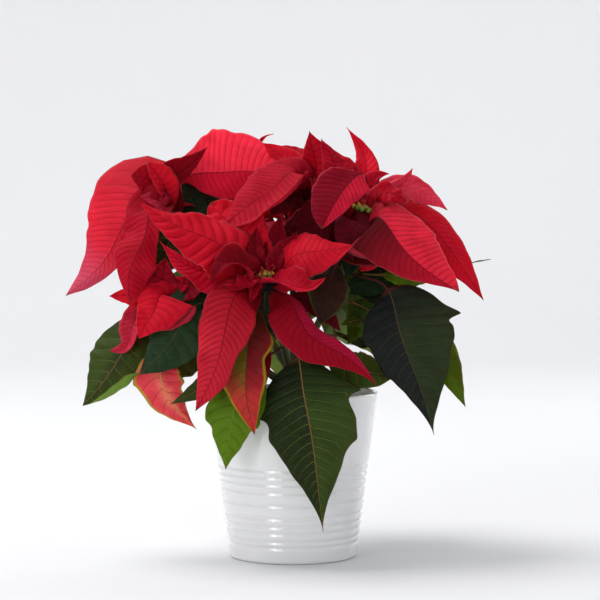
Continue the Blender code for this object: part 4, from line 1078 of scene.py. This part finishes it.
def barkFinish():
    finish = Finish("youngBark", Roughness=0.6)
    age = finish.attribute("barkPlace", 1)[0]
    streak = finish.noise(260, 3)
    fleck = finish.cells(900)
    colour = finish.mix((0.060, 0.085, 0.018), (0.085, 0.060, 0.030),
                        finish.ease(age + streak * 0.5, 0.9, 0.45))
    colour = finish.mix(colour, (0.20, 0.17, 0.11), finish.ease(fleck, 0.06, 0.0) * 0.35)
    colour = finish.mix(colour, (0.16, 0.03, 0.02), finish.ease(streak, 0.60, 0.72) * 0.4)
    return finish.close(colour, 0.45 + streak * 0.3, streak + fleck * 0.6, 0.0004, 0.6)


barkMaterial = barkFinish()
barkLook = {"steps": 20, "rings": 90, "scarGap": 0.011, "firstScar": 0.012, "lastScar": 0.004,
            "scarShift": 0.002, "scarSwell": 0.10, "scarWidth": 0.0013, "roughness": 0.03}


def addBranch(heap, points, startRadius, endRadius, startAge, endAge):
    # swells a little at each old leaf scar, and is never quite round
    line, length = smoothLine(np.array(points, float) * mm, barkLook["rings"])
    share = np.linspace(0, 1, len(line))
    rng = np.random.default_rng(int(length * 1e5))
    radii = startRadius + (endRadius - startRadius) * share
    for scar in np.arange(barkLook["firstScar"], length - barkLook["lastScar"], barkLook["scarGap"]):
        at = scar + rng.uniform(-barkLook["scarShift"], barkLook["scarShift"])
        swell = np.exp(-((share * length - at) / barkLook["scarWidth"]) ** 2)
        radii = radii * (1 + barkLook["scarSwell"] * swell)
    steps = barkLook["steps"]
    grid = tubeGrid(line, radii, steps)
    angle = np.linspace(0, 2 * math.pi, steps, endpoint=False)
    lump = barkLook["roughness"] * np.sin(3 * angle[None] + 40 * share[:, None]) * np.sin(23 * share)[:, None]
    grid = line[:, None] + (grid - line[:, None]) * (1 + lump)[..., None]
    age = np.repeat(startAge + (endAge - startAge) * share, steps)
    heap.add(grid, ringFaces(len(line), steps), barkMaterial, barkPlace=(age, 0.0, 0.0))


heap = Heap()
addBranch(heap, stem["route"], stem["radius"], 0.8 * stem["radius"], 0.1, 0.4)
for route in stem["branches"].values():
    addBranch(heap, route, stem["branchRadius"], stem["tipRadius"], 0.4, 1.0)
heap.build("forkedStem", "green_bark", "stems")
print("stem done")


grower = {"foot": 0.0053, "height": 0.110, "footRadius": 0.044, "rimRadius": 0.061, "wall": 0.0014,
          "lip": 0.0012, "steps": 96}
soilHeap = {"top": 0.1073, "mound": 0.004, "crumbs": 260, "crumbSize": (0.0008, 0.0022), "spread": 0.052,
            "moundRadius": 0.057, "rough": 0.0011, "inset": 0.0021, "floorGap": 0.0006, "crumbFlat": 0.7,
            "crumbLift": 0.0003, "waves": ((1.0, 8), (0.5, 14), (0.3, 22)), "waveSeed": 4, "crumbSeed": 12}


def soilFinish():
    finish = Finish("pottingMix", Roughness=0.95)
    lump = finish.noise(180, 6)
    fibre = finish.cells(420)
    colour = finish.mix((0.012, 0.008, 0.005), (0.060, 0.038, 0.022), finish.ease(lump, 0.35, 0.7))
    colour = finish.mix(colour, (0.13, 0.085, 0.05), finish.ease(fibre, 0.05, 0.0) * 0.5)
    return finish.close(colour, 0.85 + lump * 0.15, lump + fibre * 0.5, 0.0015, 1.0)


def plasticFinish():
    finish = Finish("growerPlastic", Roughness=0.45)
    scuff = finish.noise(90, 5)
    colour = finish.mix((0.018, 0.018, 0.019), (0.045, 0.043, 0.04), finish.ease(scuff, 0.45, 0.75))
    return finish.close(colour, 0.32 + scuff * 0.3, scuff, 0.0002, 0.4)


soilMaterial, plasticMaterial = soilFinish(), plasticFinish()


def growerRadius(height):
    rise = (height - grower["foot"]) / grower["height"]
    return grower["footRadius"] + (grower["rimRadius"] - grower["footRadius"]) * rise


def soilSurface():
    # a low mound, roughened by a sum of waves that run in random directions
    rings, steps = 60, 120
    top = soilHeap["top"]
    edge = growerRadius(top) - soilHeap["inset"]
    share = np.linspace(0.004, 1, rings)
    grid = turnedGrid(np.stack([share * edge, top + soilHeap["mound"] * (1 - share ** 2)], axis=1), steps)
    x, y = grid[..., 0] * 1000, grid[..., 1] * 1000
    rng = np.random.default_rng(soilHeap["waveSeed"])
    for size, count in soilHeap["waves"]:
        for wave in range(count):
            angle = rng.uniform(0, fullTurn)
            rate, phase = rng.uniform(0.3, 0.6) / size, rng.uniform(0, fullTurn)
            bumps = np.sin(rate * (x * math.cos(angle) + y * math.sin(angle)) + phase)
            grid[..., 2] += soilHeap["rough"] * size * bumps / math.sqrt(count)
    bottom = grower["foot"] + grower["wall"] + soilHeap["floorGap"]
    foot = turnedGrid([(growerRadius(bottom) - soilHeap["inset"], bottom), (0.001, bottom)], steps)
    return np.vstack([grid, foot]), rings + 2, steps


heap = Heap()
grid, rings, steps = soilSurface()
heap.add(grid, ringFaces(rings, steps, True), soilMaterial)
rng = np.random.default_rng(soilHeap["crumbSeed"])
for crumb in range(soilHeap["crumbs"]):
    spin, far = rng.uniform(0, fullTurn), soilHeap["spread"] * math.sqrt(rng.uniform(0.02, 1))
    size = rng.uniform(*soilHeap["crumbSize"])
    lump = beadGrid(size, soilHeap["crumbFlat"], 0.1, 6, 8)
    lump = lump * (1 + rng.uniform(-0.2, 0.2, lump.shape[:2]))[..., None]
    rise = soilHeap["mound"] * (1 - (far / soilHeap["moundRadius"]) ** 2)
    at = (far * math.cos(spin), far * math.sin(spin), soilHeap["top"] + rise + soilHeap["crumbLift"])
    heap.add(lump @ frameFor(rng.normal(size=3)) + at, ringFaces(6, 8), soilMaterial)
heap.build("pottingSoil", "potting_soil", "soil")

lip, wall = grower["lip"], grower["wall"]
foot, top = grower["foot"], grower["foot"] + grower["height"]
footRadius, rimRadius = grower["footRadius"], grower["rimRadius"]
profile = [(0.001, foot + wall), (footRadius - wall, foot + wall), (rimRadius - wall, top - 0.0004),
           (rimRadius - wall * 0.6, top), (rimRadius - wall * 0.2, top), (rimRadius, top - 0.0006),
           (growerRadius(top - 5 * lip), top - 5 * lip),
           (growerRadius(top - 6 * lip) - 0.0006, top - 6 * lip), (footRadius, foot + 0.0008),
           (footRadius - 0.0008, foot), (0.001, foot)]
turnedPiece("growerPot", "nursery_plastic", "nursery_pot", profile, grower["steps"], plasticMaterial)
print("soil and grower's pot done")


coverPot = {"height": 0.141, "foot": 0.0546, "rim": 0.0725, "wall": 0.0034, "floor": 0.005, "edge": 0.003,
            "steps": 128, "rings": (0.014, 0.019, 0.026, 0.032, 0.039, 0.050, 0.061, 0.068, 0.074, 0.080),
            "ringDepth": 0.0010, "ringWidth": 0.0016, "floorFlat": 0.040, "pole": 0.0005}


def glazeFinish():
    finish = Finish("whiteGlaze", Roughness=0.12, Coat_Weight=1.0, Coat_Roughness=0.04)
    cloud = finish.noise(22, 3)
    peel = finish.noise(160, 2)
    colour = finish.mix((0.80, 0.80, 0.81), (0.86, 0.86, 0.865), cloud)
    return finish.close(colour, 0.10 + cloud * 0.08, peel, 0.0003, 0.12)


def coverRadius(height):
    # a straight flare, with a soft groove at each ring and a faint swell between them
    radius = coverPot["foot"] + (coverPot["rim"] - coverPot["foot"]) * height / coverPot["height"]
    for ring in coverPot["rings"]:
        radius = radius - coverPot["ringDepth"] * np.exp(-((height - ring) / coverPot["ringWidth"]) ** 2)
    return radius


def coverProfile():
    wall, edge, top = coverPot["wall"], coverPot["edge"], coverPot["height"]
    lip = wall / 2
    inner = np.array([(coverPot["pole"], coverPot["floor"]), (coverPot["floorFlat"], coverPot["floor"]),
                      (coverRadius(coverPot["floor"]) - 2 * wall, coverPot["floor"])])
    rise = np.linspace(2 * coverPot["floor"], top - lip, 12)[:-1]
    flare = coverPot["foot"] + (coverPot["rim"] - coverPot["foot"]) * rise / top - wall
    bend = np.linspace(math.pi, 0, 13)
    over = np.stack([coverPot["rim"] - lip + lip * np.cos(bend), top - lip + lip * np.sin(bend)], axis=1)
    fall = np.linspace(top - lip, edge, 190)[1:]
    outer = np.stack([coverRadius(fall), fall], axis=1)
    corner = np.linspace(0, math.pi / 2, 8)[1:]
    under = np.stack([coverRadius(edge) - edge * (1 - np.cos(corner)), edge * (1 - np.sin(corner))], axis=1)
    return np.vstack([inner, np.stack([flare, rise], axis=1), over, outer, under, [(coverPot["pole"], 0.0)]])


turnedPiece("coverPot", "white_glaze", "pot", coverProfile(), coverPot["steps"], glazeFinish())
print("cover pot done")


def studioFinish():
    finish = Finish("studioPaper", Roughness=0.8)
    weave = finish.noise(3, 2)
    finish.drive("Base Color", finish.mix((0.80, 0.80, 0.81), (0.82, 0.82, 0.83), weave))
    return finish.material


def sweep():
    # a round floor that curves up into a wall on every side
    bend = np.linspace(0, math.pi / 2, 24)
    radius, wall = studio["bendRadius"], studio["wallPlace"]
    curve = np.stack([wall - radius + radius * np.sin(bend), radius * (1 - np.cos(bend))], axis=1)
    profile = np.vstack([[(0.01, 0)], curve, [(wall, studio["wallHeight"])]])
    grid = turnedGrid(profile, studio["steps"])
    index = np.arange(grid.shape[0] * grid.shape[1]).reshape(grid.shape[:2])
    faces = quads(np.hstack([index, index[:, :1]]), True) + [index[0].tolist()]
    floor = meshObject("studioSweep", grid, faces)
    floor.data.materials.append(studioFinish())


sweep()
world = bpy.data.worlds.new("studio")
bpy.context.scene.world = world
world.use_nodes = True
world.node_tree.nodes["Background"].inputs["Color"].default_value = (*studio["skyColour"], 1)
world.node_tree.nodes["Background"].inputs["Strength"].default_value = studio["skyStrength"]
for name, lamp in studio["lamps"].items():
    addLight(name, **lamp)
print("studio done")
